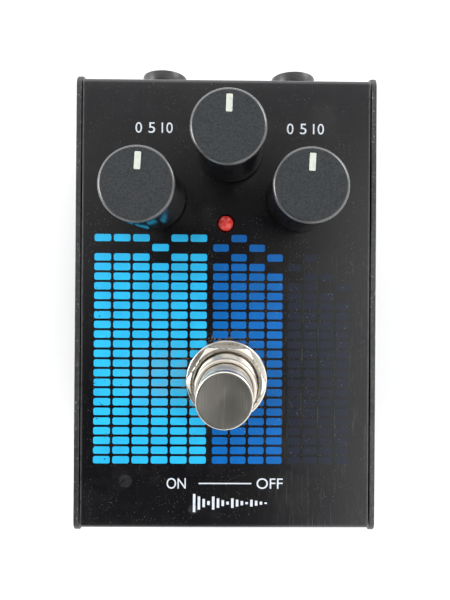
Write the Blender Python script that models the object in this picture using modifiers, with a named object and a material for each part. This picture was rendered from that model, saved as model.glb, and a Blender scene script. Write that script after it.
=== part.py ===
# Delay pedal: a folded steel case with three knobs, a lamp, a footswitch and two jacks.
# Metres, +Z up, +X to the right and +Y to the rear of the pedal. The feet stand on z = 0.
# The origin lies under the middle of the whole object's box.

import math

import bmesh
import bpy
from mathutils import Matrix, Vector

# Common clearances and steps
seat_gap = 0.0003            # air between two pieces that meet
turning_gap = 0.00025        # air round a shaft or a plunger
cut_overrun = 0.002          # how far a cutter runs past what it cuts
join_depth = 0.0006          # how far a joined shape reaches into its neighbour
edge_break = 0.0003          # small rounding of moulded edges
merge_distance = 0.00001
round_steps = 32             # faces round a turned piece
small_round_steps = 16       # faces round a thin turned piece
bend_steps = 4               # faces in a sheet bend
corner_steps = 5             # faces in a rounded sheet corner
round_profile = 0.5          # a bevel's profile that is an arc
facing = 0.5                 # a face with this much of a direction in its normal faces it
sharp_angle = math.radians(40)

# Case
case_width = 0.060
side_length = 0.0916         # side plates, front to rear
side_overhang = 0.0008       # side plates past the front wall and the rear wall
case_height = 0.032          # underside of the base plate to the top face
sheet = 0.001                # steel sheet
base_bend_radius = 0.0016
top_bend_radius = 0.0012
side_corner_radius = 0.0022
lip_length = 0.009           # inward lips at the foot of the front and rear walls

# Feet and base screws
foot_radius = 0.0045
foot_top_radius = 0.0049
foot_height = 0.002
foot_round = 0.0004
foot_round_steps = 24
foot_side_inset = 0.007      # foot centre from the side of the case
foot_end_inset = 0.0165      # foot centre from the end of the walls
screw_radius = 0.0014
screw_tip_reach = 0.0018     # screw past the lip it holds
screw_head_radius = 0.0027
screw_head_height = 0.0011
screw_head_round = 0.0005
screw_slot_width = 0.0007
screw_slot_length = 0.0032
screw_slot_depth = 0.0006
screw_side_inset = 0.008
screw_end_inset = 0.0045

# Places of the controls on the top plate: from its middle line, and in from the rear wall
side_control_x = 0.0145
side_control_inset = 0.02415
centre_control_x = 0.0007
centre_control_inset = 0.0145
footswitch_x = 0.0003
lamp_x = -0.0001
lamp_inset = 0.0290

# Potentiometers
pot_width = 0.0098
pot_depth = 0.0106
pot_height = 0.0058
pot_forward = 0.0006         # housing centre in front of the shaft
pot_pin_width = 0.0009
pot_pin_thickness = 0.0005
pot_pin_pitch = 0.0025
pot_pin_tip = 0.0008         # pin past the circuit board
pot_flange_radius = 0.0045
pot_flange_height = 0.0006
bushing_radius = 0.0035
bushing_reach = 0.0048       # bushing above the top face
shaft_radius = 0.00285
shaft_spline_radius = 0.003
shaft_reach = 0.0122         # shaft end above the top face
shaft_in_housing = 0.004
shaft_slot_width = 0.0008
shaft_slot_depth = 0.0045
pot_nut_across_flats = 0.0096
pot_nut_height = 0.0018

# Knobs
knob_radius = 0.0065
knob_height = 0.0151
knob_lift = 0.0012           # knob's foot above the top face
knob_edge_round = 0.0007
knob_edge_steps = 3
knob_foot_round = 0.00025
knob_skirt_wall = 0.0007
pointer_width = 0.0011
pointer_length = 0.0030
pointer_depth = 0.0007
pointer_centre = 0.0038      # pointer's middle from the knob's axis
pointer_gap = 0.00012        # the pointer is moulded in
knob_turns = {
    "left": math.radians(-3.4),
    "centre": math.radians(-1.7),
    "right": math.radians(-2.4),
}

# Lamp
lamp_radius = 0.0015
lamp_reach = 0.0016          # dome above the top face
lamp_length = 0.0050
lamp_flange_radius = 0.0019
lamp_flange_height = 0.0010
lamp_dome_steps = 4
lead_width = 0.0005
lead_pitch = 0.00254

# Footswitch
washer_radius = 0.0080
washer_thickness = 0.0008
dress_nut_across_flats = 0.0138
dress_nut_height = 0.0022
dress_nut_corner_radius = 0.0078
dress_nut_face_radius = 0.0066
dress_nut_chamfer_height = 0.0007
dress_nut_turn = math.radians(-1.3)
lock_nut_across_flats = 0.0140
lock_nut_height = 0.0018
barrel_radius = 0.0059       # crest of the thread
barrel_thread_depth = 0.0003
barrel_thread_pitch = 0.0010
barrel_reach = 0.0086        # barrel above the top face
barrel_edge_break = 0.0004
keyway_width = 0.0014
keyway_depth = 0.0003
button_radius = 0.00495
button_reach = 0.0155        # button's top above the top face at rest
button_edge_round = 0.0003
button_edge_steps = 3
button_length = 0.0122
button_travel = 0.0025
stem_radius = 0.0015
stem_in_housing = 0.0035     # stem inside the housing at rest
switch_width = 0.0171
switch_height = 0.0135
switch_flange_height = 0.001
terminal_plate_height = 0.0015
lug_width = 0.0020
lug_thickness = 0.0005
lug_length = 0.0045
lug_pitch_x = 0.0048
lug_pitch_y = 0.0052
spring_wire_radius = 0.0003
spring_curls = 5
spring_points_in_curl = 10
spring_side_gap = 0.0004     # air between spring and barrel

# Main circuit board
board_thickness = 0.0016
board_side_gap = 0.0015      # board to side plate
board_rear_gap = 0.0006      # board to rear wall
board_switch_gap = 0.0031    # footswitch housing to the board's front edge
board_hole_gap = 0.0003

# Small board on the footswitch lugs and the ribbon to the main board
lug_board_margin = 0.0010    # board past the switch housing, front and sides
lug_board_thickness = 0.0012
ribbon_width = 0.0056
ribbon_thickness = 0.0009
ribbon_flat = 0.0025         # flat end lying on each board
ribbon_switch_gap = 0.0020   # footswitch housing to the ribbon's near end
ribbon_edge_gap = 0.0014     # ribbon's flat end to the small board's rear edge
ribbon_run = 0.0070          # front to rear length of the sloping stretch
ribbon_steps = 8

# Parts under the main board
chip_width = 0.0063
chip_height = 0.0033
chip_stand = 0.0005
chip_leg_pitch = 0.00254
chip_leg_width = 0.0006
chip_leg_reach = 0.0007      # legs past the body's side
chip_notch_radius = 0.0008
chip_notch_depth = 0.0004
delay_chip_legs = 8
compander_chip_legs = 8
amplifier_chip_legs = 4
chip_ribbon_gap = 0.00055    # ribbon to the legs of the two long chips
chip_jack_gap = 0.0011       # jack bodies to the chips in front of them
chip_front_margin = 0.0013   # long chips to the board's front edge
amplifier_side_margin = 0.0014
can_radius = 0.0025
can_height = 0.0068
can_groove_height = 0.0013
can_groove_depth = 0.0003
can_edge_round = 0.0004
can_margin = 0.0025          # right can to the board's front edge
can_trimmer_gap = 0.0020     # left can behind the trimmer
trimmer_width = 0.0066
trimmer_height = 0.0042
trimmer_recess_radius = 0.0022
trimmer_recess_depth = 0.0016
trimmer_rotor_radius = 0.0019
trimmer_rotor_height = 0.0011
trimmer_slot_width = 0.0006
trimmer_slot_depth = 0.0005
trimmer_margin = 0.0027      # trimmer to the board's front and side edges

# Jacks in the rear wall
jack_socket_gap = 0.0025     # jack body to the power socket between the two
jack_width = 0.0158
jack_height = 0.0120
jack_length = 0.0245         # body inside the rear wall
nose_radius = 0.0050
nose_reach = 0.0064          # nose behind the rear wall
nose_lip_length = 0.0012
nose_lip_round = 0.0004
nose_groove_depth = 0.0003
nose_groove_length = 0.0005
plug_bore_radius = 0.0033
plug_bore_entry = 0.0005     # countersink at the mouth
bore_end_wall = 0.0012
jack_washer_radius = 0.0068
jack_washer_thickness = 0.0004
jack_nut_across_flats = 0.0126
jack_nut_height = 0.0016
contact_slot_width = 0.0034
contact_slot_length = 0.0130
contact_slot_start = 0.0020  # slot's near end from the body's blind end
contact_width = 0.0026
contact_thickness = 0.0004
contact_rise = 0.0007        # the hump that presses on the plug
contact_steps = 8

# Power socket in the rear wall
socket_width = 0.0090
socket_height = 0.0110
socket_length = 0.0140
socket_bore_radius = 0.0031
socket_bore_length = 0.0095
socket_axis_drop = 0.0062    # axis below the socket's top
socket_window_radius = 0.0045
socket_pin_radius = 0.00105
socket_pin_length = 0.0090
socket_pin_round = 0.0004

# Heights and places that follow from the sizes
wall_length = side_length - 2 * side_overhang
rear_wall_y = wall_length / 2
case_bottom_z = foot_height + seat_gap
top_z = case_bottom_z + case_height
top_inside_z = top_z - sheet
base_inside_z = case_bottom_z + sheet
top_width = case_width - 2 * (sheet + seat_gap)
case_centre_y = -(rear_wall_y + nose_reach - side_length / 2) / 2

pot_flange_top_z = top_inside_z - seat_gap
pot_top_z = pot_flange_top_z - pot_flange_height - seat_gap
pot_bottom_z = pot_top_z - pot_height
board_top_z = pot_bottom_z - seat_gap
board_bottom_z = board_top_z - board_thickness
jack_top_z = board_bottom_z - seat_gap
jack_axis_z = jack_top_z - jack_height / 2
inside_rear_y = rear_wall_y - sheet - seat_gap
bushing_bore_radius = shaft_radius + turning_gap
bushing_hole_radius = bushing_radius + seat_gap

lock_nut_top_z = top_inside_z - seat_gap
switch_flange_top_z = lock_nut_top_z - lock_nut_height - seat_gap
switch_top_z = switch_flange_top_z - switch_flange_height - seat_gap
switch_bottom_z = switch_top_z - switch_height
terminal_top_z = switch_bottom_z - seat_gap
terminal_bottom_z = terminal_top_z - terminal_plate_height
lug_board_top_z = terminal_bottom_z - seat_gap
barrel_hole_radius = barrel_radius + seat_gap
barrel_bore_radius = button_radius + turning_gap
button_bottom_z = top_z + button_reach - button_length

pot_pin_y = -pot_forward - pot_depth / 2
lead_offset = lead_pitch / 2
lamp_y = rear_wall_y - lamp_inset
side_control_y = rear_wall_y - side_control_inset
centre_control_y = rear_wall_y - centre_control_inset

jack_x = socket_width / 2 + jack_socket_gap + jack_width / 2
long_chip_length = delay_chip_legs * chip_leg_pitch
chip_row_x = ribbon_width / 2 + chip_ribbon_gap + chip_leg_reach + chip_width / 2
chip_row_rear_y = inside_rear_y - jack_length - chip_jack_gap
board_half_width = case_width / 2 - sheet - board_side_gap
board_front_y = chip_row_rear_y - long_chip_length - chip_front_margin
board_rear_y = rear_wall_y - sheet - board_rear_gap
amplifier_chip_x = board_half_width - amplifier_side_margin - chip_leg_reach - chip_width / 2
right_can_y = board_front_y + can_margin + can_radius
trimmer_x = -(board_half_width - trimmer_margin - trimmer_width / 2)
trimmer_y = board_front_y + trimmer_margin + trimmer_width / 2
left_can_y = trimmer_y + trimmer_width / 2 + can_trimmer_gap + can_radius

footswitch_y = board_front_y - board_switch_gap - switch_width / 2
ribbon_start_y = footswitch_y + switch_width / 2 + ribbon_switch_gap
lug_board_front = switch_width / 2 + lug_board_margin
lug_board_rear = switch_width / 2 + ribbon_switch_gap + ribbon_flat + ribbon_edge_gap

control_places = {
    "left": (-side_control_x, side_control_y),
    "centre": (centre_control_x, centre_control_y),
    "right": (side_control_x, side_control_y),
}
jack_places = {"left": -jack_x, "right": jack_x}


def clear_scene():
    for old in list(bpy.data.objects):
        bpy.data.objects.remove(old, do_unlink=True)
    for old in list(bpy.data.collections):
        bpy.data.collections.remove(old)


def new_collection(name):
    collection = bpy.data.collections.new(name)
    bpy.context.scene.collection.children.link(collection)
    return collection


clear_scene()
pedal = new_collection("delay_pedal")
cutters = new_collection("cutters")


def finish(name, colour, roughness, metallic=0.0):
    # One plain surface for each kind of piece
    surface = bpy.data.materials.new(name)
    surface.use_nodes = True
    shader = surface.node_tree.nodes["Principled BSDF"]
    shader.inputs["Base Color"].default_value = (*colour, 1.0)
    shader.inputs["Roughness"].default_value = roughness
    shader.inputs["Metallic"].default_value = metallic
    return surface


def place(x, y, z):
    # A point given from the middle of the case, in the part's own frame
    return Vector((x, y + case_centre_y, z))


def add_piece(name, shape, where, surface, parent=None):
    # Turns a bmesh into a named piece of the pedal
    mesh = bpy.data.meshes.new(name)
    shape.normal_update()
    shape.to_mesh(mesh)
    shape.free()
    mesh.materials.append(surface)
    piece = bpy.data.objects.new(name, mesh)
    piece.location = where
    if parent is not None:
        piece.parent = parent
    pedal.objects.link(piece)
    return piece


def add_tool(owner, shape, operation):
    # A hidden shape that cuts, joins or trims its owner, in the owner's own frame
    tool_name = f"{operation.lower()}_{owner.name}_{len(owner.modifiers)}"
    mesh = bpy.data.meshes.new(tool_name)
    shape.normal_update()
    shape.to_mesh(mesh)
    shape.free()
    tool = bpy.data.objects.new(tool_name, mesh)
    tool.location = owner.location
    tool.parent = owner.parent
    tool.hide_render = True
    tool.display_type = "WIRE"
    cutters.objects.link(tool)
    change = owner.modifiers.new(tool_name, "BOOLEAN")
    change.operation = operation
    change.object = tool
    change.solver = "EXACT"


def add_block(shape, size, centre):
    matrix = Matrix.Translation(centre) @ Matrix.Diagonal((*size, 1))
    return bmesh.ops.create_cube(shape, size=1, matrix=matrix)["verts"]


def block(size, centre=(0, 0, 0)):
    shape = bmesh.new()
    add_block(shape, size, centre)
    return shape


def add_rod(shape, radius, length, centre=(0, 0, 0), tilt=None, steps=round_steps):
    # A cylinder, along Z unless tilted
    matrix = Matrix.Translation(centre)
    if tilt is not None:
        matrix = matrix @ tilt
    bmesh.ops.create_cone(
        shape,
        cap_ends=True,
        segments=steps,
        radius1=radius,
        radius2=radius,
        depth=length,
        matrix=matrix,
    )


def rod(radius, length, centre=(0, 0, 0), tilt=None, steps=round_steps):
    shape = bmesh.new()
    add_rod(shape, radius, length, centre, tilt, steps)
    return shape


def to_rear():
    # Turns a shape's +Z to the rear, +Y
    return Matrix.Rotation(math.radians(-90), 4, "X")


def moulded_block(size, centre=(0, 0, 0)):
    # A block with all its edges broken
    shape = block(size, centre)
    bmesh.ops.bevel(
        shape,
        geom=shape.edges[:],
        offset=edge_break,
        segments=1,
        profile=round_profile,
        affect="EDGES",
    )
    return shape


def revolved(profile, closed=False, steps=round_steps):
    # A turned solid from its half section at +X, outer side from top to bottom
    shape = bmesh.new()
    corners = [shape.verts.new((radius, 0, height)) for radius, height in profile]
    edges = [shape.edges.new(pair) for pair in zip(corners, corners[1:])]
    if closed:
        edges.append(shape.edges.new((corners[-1], corners[0])))
    bmesh.ops.spin(
        shape,
        geom=corners + edges,
        axis=(0, 0, 1),
        cent=(0, 0, 0),
        angle=2 * math.pi,
        steps=steps,
        use_merge=True,
    )
    bmesh.ops.remove_doubles(shape, verts=shape.verts[:], dist=merge_distance)
    bmesh.ops.recalc_face_normals(shape, faces=shape.faces[:])
    return shape


def turned(name, profile, where, surface, parent=None, closed=False, steps=round_steps):
    piece = add_piece(name, revolved(profile, closed, steps), where, surface, parent)
    piece.data.shade_smooth()
    piece.data.set_sharp_from_angle(angle=sharp_angle)
    return piece


def arc(centre_radius, centre_height, radius, start, end, steps):
    # Points of an arc in a half section, angles from +X towards +Z
    points = []
    for step in range(steps + 1):
        angle = start + (end - start) * step / steps
        points.append((
            centre_radius + radius * math.cos(angle),
            centre_height + radius * math.sin(angle),
        ))
    return points


def thread_side(crest, depth, pitch, top, bottom):
    # Outer side of a thread, drawn as rings, from top to bottom
    rings = max(1, int((top - bottom) / pitch))
    step = (top - bottom) / rings
    points = [(crest - depth, top)]
    for ring in range(rings):
        height = top - ring * step
        points.append((crest, height - step / 2))
        points.append((crest - depth, height - step))
    return points


def hexagon(across_flats, height, bottom, turn=0.0):
    # A hexagon with two corners on the X axis before it is turned
    shape = bmesh.new()
    corner = across_flats / 2 / math.cos(math.pi / 6)
    matrix = (
        Matrix.Translation((0, 0, bottom + height / 2))
        @ Matrix.Rotation(turn + math.pi / 2, 4, "Z")
    )
    bmesh.ops.create_cone(
        shape,
        cap_ends=True,
        segments=6,
        radius1=corner,
        radius2=corner,
        depth=height,
        matrix=matrix,
    )
    return shape


def corner_places(side_inset, end_inset):
    half_width = case_width / 2 - side_inset
    half_length = wall_length / 2 - end_inset
    return [
        (-half_width, -half_length),
        (half_width, -half_length),
        (half_width, half_length),
        (-half_width, half_length),
    ]


def folded(shape, edges, radius):
    bmesh.ops.bevel(
        shape,
        geom=edges,
        offset=radius,
        segments=bend_steps,
        profile=round_profile,
        affect="EDGES",
    )


def thicken(piece):
    # The sheet's thickness, inwards from its outer face
    wall = piece.modifiers.new("sheet", "SOLIDIFY")
    wall.thickness = sheet
    wall.offset = -1
    wall.use_even_offset = True


def strip(name, points, width, thickness, where, surface):
    # A bent strip, its middle line given as points from front to rear and up
    shape = bmesh.new()
    line = [shape.verts.new((-width / 2, y, z)) for y, z in points]
    edges = [shape.edges.new(pair) for pair in zip(line, line[1:])]
    swept = bmesh.ops.extrude_edge_only(shape, edges=edges)["geom"]
    moved = [item for item in swept if isinstance(item, bmesh.types.BMVert)]
    bmesh.ops.translate(shape, verts=moved, vec=(width, 0, 0))
    piece = add_piece(name, shape, where, surface)
    wall = piece.modifiers.new("wall", "SOLIDIFY")
    wall.thickness = thickness
    wall.offset = 0
    wall.use_even_offset = True


def is_along_x(edge):
    first, second = edge.verts
    return abs(first.co.x - second.co.x) > top_width / 2


def base_shell():
    # Base plate and side plates, folded from one sheet
    shape = block((case_width, side_length, case_height), (0, 0, case_height / 2))
    open_sides = [
        face for face in shape.faces
        if face.normal.z > facing or abs(face.normal.y) > facing
    ]
    bmesh.ops.delete(shape, geom=open_sides, context="FACES")
    bends = [
        edge for edge in shape.edges
        if all(vert.co.z < case_height / 2 for vert in edge.verts)
        and abs(edge.verts[0].co.y - edge.verts[1].co.y) > side_length / 2
    ]
    folded(shape, bends, base_bend_radius)
    corners = [vert for vert in shape.verts if vert.co.z > case_height / 2]
    bmesh.ops.bevel(
        shape,
        geom=corners,
        offset=side_corner_radius,
        segments=corner_steps,
        profile=round_profile,
        affect="VERTICES",
    )
    piece = add_piece("base_shell", shape, place(0, 0, case_bottom_z), case_paint)
    thicken(piece)
    holes = bmesh.new()
    for x, y in corner_places(screw_side_inset, screw_end_inset):
        add_rod(
            holes,
            screw_radius + seat_gap,
            sheet + 2 * cut_overrun,
            (x, y, sheet / 2),
            steps=small_round_steps,
        )
    add_tool(piece, holes, "DIFFERENCE")


def top_shell():
    # Top plate, front and rear walls and their lips, folded from one sheet
    bottom_z = base_inside_z + seat_gap
    height = top_z - bottom_z
    shape = block((top_width, wall_length, height), (0, 0, height / 2))
    for side in (-1, 1):
        bmesh.ops.bisect_plane(
            shape,
            geom=shape.verts[:] + shape.edges[:] + shape.faces[:],
            plane_co=(0, side * (wall_length / 2 - lip_length), 0),
            plane_no=(0, 1, 0),
        )
    open_sides = [
        face for face in shape.faces
        if abs(face.normal.x) > facing
        or (face.normal.z < -facing and abs(face.calc_center_median().y) < lip_length)
    ]
    bmesh.ops.delete(shape, geom=open_sides, context="FACES")
    bends = [
        edge for edge in shape.edges
        if is_along_x(edge)
        and all(abs(vert.co.y) > wall_length / 2 - lip_length / 2 for vert in edge.verts)
    ]
    folded(shape, bends, top_bend_radius)
    piece = add_piece("top_shell", shape, place(0, 0, bottom_z), case_paint)
    thicken(piece)
    plate_z = height - sheet / 2
    deep = sheet + 2 * cut_overrun
    round_holes = bmesh.new()
    for x, y in control_places.values():
        add_rod(round_holes, bushing_hole_radius, deep, (x, y, plate_z))
    add_rod(round_holes, barrel_hole_radius, deep, (footswitch_x, footswitch_y, plate_z))
    add_rod(
        round_holes,
        lamp_radius + seat_gap,
        deep,
        (lamp_x, lamp_y, plate_z),
        steps=small_round_steps,
    )
    wall_y = rear_wall_y - sheet / 2
    for x in jack_places.values():
        centre = (x, wall_y, jack_axis_z - bottom_z)
        add_rod(round_holes, nose_radius + seat_gap, deep, centre, to_rear())
    centre = (0, wall_y, jack_top_z - socket_axis_drop - bottom_z)
    add_rod(round_holes, socket_window_radius, deep, centre, to_rear())
    for x, y in corner_places(screw_side_inset, screw_end_inset):
        add_rod(
            round_holes,
            screw_radius + seat_gap,
            deep,
            (x, y, sheet / 2),
            steps=small_round_steps,
        )
    add_tool(piece, round_holes, "DIFFERENCE")


def base_screws():
    head_top_z = case_bottom_z - seat_gap
    length = 2 * (seat_gap + sheet) + screw_tip_reach
    profile = [(0, length), (screw_radius, length), (screw_radius, 0)]
    profile.append((screw_head_radius, 0))
    profile += arc(
        screw_head_radius - screw_head_round,
        -screw_head_height + screw_head_round,
        screw_head_round,
        0,
        -math.pi / 2,
        2,
    )
    profile.append((0, -screw_head_height))
    for number, (x, y) in enumerate(corner_places(screw_side_inset, screw_end_inset), 1):
        piece = turned(
            f"base_screw_{number}",
            profile,
            place(x, y, head_top_z),
            screw_metal,
            steps=small_round_steps,
        )
        across = 2 * screw_slot_depth
        for size in (
            (screw_slot_length, screw_slot_width, across),
            (screw_slot_width, screw_slot_length, across),
        ):
            add_tool(piece, block(size, (0, 0, -screw_head_height)), "DIFFERENCE")


def feet():
    profile = [(0, foot_height), (foot_top_radius, foot_height)]
    profile += arc(foot_radius - foot_round, foot_round, foot_round, 0, -math.pi / 2, 2)
    profile.append((0, 0))
    for number, (x, y) in enumerate(corner_places(foot_side_inset, foot_end_inset), 1):
        turned(f"foot_{number}", profile, place(x, y, 0), foot_rubber, steps=foot_round_steps)


def pot_housing(side, x, y):
    piece = add_piece(
        f"pot_housing_{side}",
        moulded_block((pot_width, pot_depth, pot_height), (0, -pot_forward, -pot_height / 2)),
        place(x, y, pot_top_z),
        pot_case,
    )
    pins = bmesh.new()
    pin_top = -pot_height / 2
    pin_bottom = board_bottom_z - pot_pin_tip - pot_top_z
    for number in (-1, 0, 1):
        centre = (number * pot_pin_pitch, pot_pin_y, (pin_top + pin_bottom) / 2)
        add_block(pins, (pot_pin_width, pot_pin_thickness, pin_top - pin_bottom), centre)
    add_tool(piece, pins, "UNION")
    depth = shaft_in_housing + seat_gap
    hole = rod(shaft_radius + turning_gap, 2 * depth)
    add_tool(piece, hole, "DIFFERENCE")


def pot_bushing(side, x, y):
    # Bushing with its flange, from the housing up through the plate into the knob
    flange_bottom = pot_flange_top_z - pot_flange_height - top_z
    flange_top = pot_flange_top_z - top_z
    profile = [
        (bushing_bore_radius, bushing_reach),
        (bushing_radius - edge_break / 2, bushing_reach),
        (bushing_radius, bushing_reach - edge_break / 2),
        (bushing_radius, flange_top),
        (pot_flange_radius, flange_top),
        (pot_flange_radius, flange_bottom),
        (bushing_bore_radius, flange_bottom),
    ]
    turned(
        f"pot_bushing_{side}",
        profile,
        place(x, y, top_z),
        bright_metal,
        closed=True,
        steps=small_round_steps,
    )


def pot_nut(side, x, y):
    piece = add_piece(
        f"pot_nut_{side}",
        hexagon(pot_nut_across_flats, pot_nut_height, seat_gap),
        place(x, y, top_z),
        bright_metal,
    )
    add_tool(
        piece,
        rod(bushing_hole_radius, pot_nut_height + 2 * cut_overrun, (0, 0, pot_nut_height / 2)),
        "DIFFERENCE",
    )


def pot_shaft(side, axle):
    # Plain in the bushing, splined and split where the knob sits
    bottom = pot_top_z - shaft_in_housing - top_z
    splined_from = bushing_reach + seat_gap
    profile = [
        (0, shaft_reach),
        (shaft_spline_radius - edge_break, shaft_reach),
        (shaft_spline_radius, shaft_reach - edge_break),
        (shaft_spline_radius, splined_from),
        (shaft_radius, splined_from),
        (shaft_radius, bottom),
        (0, bottom),
    ]
    piece = turned(
        f"pot_shaft_{side}",
        profile,
        (0, 0, 0),
        bright_metal,
        parent=axle,
        steps=small_round_steps,
    )
    add_tool(
        piece,
        block(
            (3 * shaft_spline_radius, shaft_slot_width, 2 * shaft_slot_depth),
            (0, 0, shaft_reach),
        ),
        "DIFFERENCE",
    )


def knob(side, axle):
    # Straight round knob, hollow from below over the nut, the bushing and the shaft
    top = knob_lift + knob_height
    nut_room = seat_gap + pot_nut_height + seat_gap
    bushing_room = bushing_reach + seat_gap
    shaft_room = shaft_reach + seat_gap
    inner = knob_radius - knob_skirt_wall
    profile = [(0, top)]
    profile += arc(
        knob_radius - knob_edge_round,
        top - knob_edge_round,
        knob_edge_round,
        math.pi / 2,
        0,
        knob_edge_steps,
    )
    profile += [
        (knob_radius, knob_lift + knob_foot_round),
        (knob_radius - knob_foot_round, knob_lift),
        (inner, knob_lift),
        (inner, nut_room),
        (bushing_hole_radius, nut_room),
        (bushing_hole_radius, bushing_room),
        (shaft_spline_radius + turning_gap, bushing_room),
        (shaft_spline_radius + turning_gap, shaft_room),
        (0, shaft_room),
    ]
    piece = turned(f"knob_{side}", profile, (0, 0, 0), knob_black, parent=axle)
    pocket = block(
        (
            pointer_width + 2 * pointer_gap,
            pointer_length + 2 * pointer_gap,
            2 * (pointer_depth + pointer_gap),
        ),
        (0, pointer_centre, top),
    )
    add_tool(piece, pocket, "DIFFERENCE")


def knob_pointer(side, axle):
    add_piece(
        f"knob_pointer_{side}",
        block(
            (pointer_width, pointer_length, pointer_depth),
            (0, pointer_centre, knob_lift + knob_height - pointer_depth / 2),
        ),
        (0, 0, 0),
        pointer_white,
        axle,
    )


def controls():
    for side, (x, y) in control_places.items():
        pot_housing(side, x, y)
        pot_bushing(side, x, y)
        pot_nut(side, x, y)
        axle = bpy.data.objects.new(f"axle_{side}", None)
        axle.location = place(x, y, top_z)
        axle.rotation_euler = (0, 0, knob_turns[side])
        pedal.objects.link(axle)
        pot_shaft(side, axle)
        knob(side, axle)
        knob_pointer(side, axle)


def lamp():
    # Round lamp in its hole, with its flange below, and its two leads to the board
    shoulder = lamp_reach - lamp_radius
    bottom = lamp_reach - lamp_length
    profile = arc(0, shoulder, lamp_radius, math.pi / 2, 0, lamp_dome_steps)
    profile[0] = (0, lamp_reach)
    profile += [
        (lamp_radius, bottom + lamp_flange_height),
        (lamp_flange_radius, bottom + lamp_flange_height),
        (lamp_flange_radius, bottom),
        (0, bottom),
    ]
    turned("lamp_lens", profile, place(lamp_x, lamp_y, top_z), lamp_red, steps=24)
    top = top_z + bottom - seat_gap
    low = board_bottom_z
    for name, side in (("lamp_lead_1", -1), ("lamp_lead_2", 1)):
        add_piece(
            name,
            block((lead_width, lead_width, top - low)),
            place(lamp_x + side * lead_offset, lamp_y, (top + low) / 2),
            bright_metal,
        )


def footswitch_washer(x, y):
    profile = [
        (barrel_hole_radius, washer_thickness),
        (washer_radius - edge_break, washer_thickness),
        (washer_radius, washer_thickness - edge_break),
        (washer_radius, 0),
        (barrel_hole_radius, 0),
    ]
    turned(
        "footswitch_washer",
        profile,
        place(x, y, top_z + seat_gap),
        bright_metal,
        closed=True,
    )


def footswitch_dress_nut(x, y):
    # Hexagon nut with its corners turned off at the top
    bottom = top_z + seat_gap + washer_thickness + seat_gap
    piece = add_piece(
        "footswitch_dress_nut",
        hexagon(dress_nut_across_flats, dress_nut_height, 0, dress_nut_turn),
        place(x, y, bottom),
        bright_metal,
    )
    trim = [
        (0, dress_nut_height + cut_overrun),
        (dress_nut_face_radius, dress_nut_height + cut_overrun),
        (dress_nut_face_radius, dress_nut_height),
        (dress_nut_corner_radius, dress_nut_height - dress_nut_chamfer_height),
        (dress_nut_corner_radius, -cut_overrun),
        (0, -cut_overrun),
    ]
    add_tool(piece, revolved(trim), "INTERSECT")
    bore = rod(
        barrel_hole_radius,
        dress_nut_height + 2 * cut_overrun,
        (0, 0, dress_nut_height / 2),
    )
    add_tool(piece, bore, "DIFFERENCE")


def footswitch_lock_nut(x, y):
    piece = add_piece(
        "footswitch_lock_nut",
        hexagon(lock_nut_across_flats, lock_nut_height, 0),
        place(x, y, lock_nut_top_z - lock_nut_height),
        bright_metal,
    )
    bore = rod(
        barrel_hole_radius,
        lock_nut_height + 2 * cut_overrun,
        (0, 0, lock_nut_height / 2),
    )
    add_tool(piece, bore, "DIFFERENCE")


def footswitch_barrel(x, y):
    # Threaded barrel on a square flange, with a keyway down its left side
    flange_top = switch_flange_top_z - top_z
    flange_bottom = flange_top - switch_flange_height
    root = barrel_radius - barrel_thread_depth
    profile = [(0, barrel_reach), (root - barrel_edge_break / 2, barrel_reach)]
    profile += thread_side(
        barrel_radius,
        barrel_thread_depth,
        barrel_thread_pitch,
        barrel_reach - barrel_edge_break,
        0,
    )
    profile += [(root, flange_bottom), (0, flange_bottom)]
    piece = turned("footswitch_barrel", profile, place(x, y, top_z), bright_metal)
    keyway = block(
        (2 * keyway_depth, keyway_width, barrel_reach + cut_overrun),
        (-barrel_radius, 0, (barrel_reach + cut_overrun) / 2),
    )
    add_tool(piece, keyway, "DIFFERENCE")
    flange = block(
        (switch_width, switch_width, switch_flange_height),
        (0, 0, flange_top - switch_flange_height / 2),
    )
    add_tool(piece, flange, "UNION")
    bore = rod(
        barrel_bore_radius,
        barrel_reach - flange_bottom + 2 * cut_overrun,
        (0, 0, (barrel_reach + flange_bottom) / 2),
    )
    add_tool(piece, bore, "DIFFERENCE")


def footswitch_button(x, y):
    # Round plunger with a thin stem below it that works the contacts
    top = button_reach
    bottom = button_reach - button_length
    stem_bottom = switch_top_z - stem_in_housing - top_z
    profile = [(0, top)]
    profile += arc(
        button_radius - button_edge_round,
        top - button_edge_round,
        button_edge_round,
        math.pi / 2,
        0,
        button_edge_steps,
    )
    profile += [
        (button_radius, bottom),
        (stem_radius, bottom),
        (stem_radius, stem_bottom),
        (0, stem_bottom),
    ]
    turned("footswitch_button", profile, place(x, y, top_z), button_metal)


def least_gap(points):
    # Least air between stretches of the wire that lie at least half a curl apart
    apart = spring_points_in_curl // 2
    nearest = min(
        math.dist(first, second)
        for number, first in enumerate(points)
        for second in points[number + apart:]
    )
    return round(nearest - 2 * spring_wire_radius, 6)


def footswitch_spring(x, y):
    # Return spring between the plunger and the housing: one unbroken wire
    low = switch_top_z + seat_gap + spring_wire_radius
    high = button_bottom_z - seat_gap - spring_wire_radius
    ring = barrel_bore_radius - spring_side_gap - spring_wire_radius
    points = []
    for step in range(spring_curls * spring_points_in_curl + 1):
        turn = step / spring_points_in_curl
        angle = 2 * math.pi * turn
        height = low + (high - low) * turn / spring_curls
        points.append((ring * math.cos(angle), ring * math.sin(angle), height))
    print("footswitch_spring least gap to itself, m:", least_gap(points))
    line = bpy.data.curves.new("footswitch_spring", "CURVE")
    line.dimensions = "3D"
    line.bevel_depth = spring_wire_radius
    line.bevel_resolution = 1
    line.use_fill_caps = True
    wire = line.splines.new("POLY")
    wire.points.add(len(points) - 1)
    for point, where in zip(wire.points, points):
        point.co = (*where, 1)
    line.materials.append(bright_metal)
    piece = bpy.data.objects.new("footswitch_spring", line)
    piece.location = place(x, y, 0)
    pedal.objects.link(piece)


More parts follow.
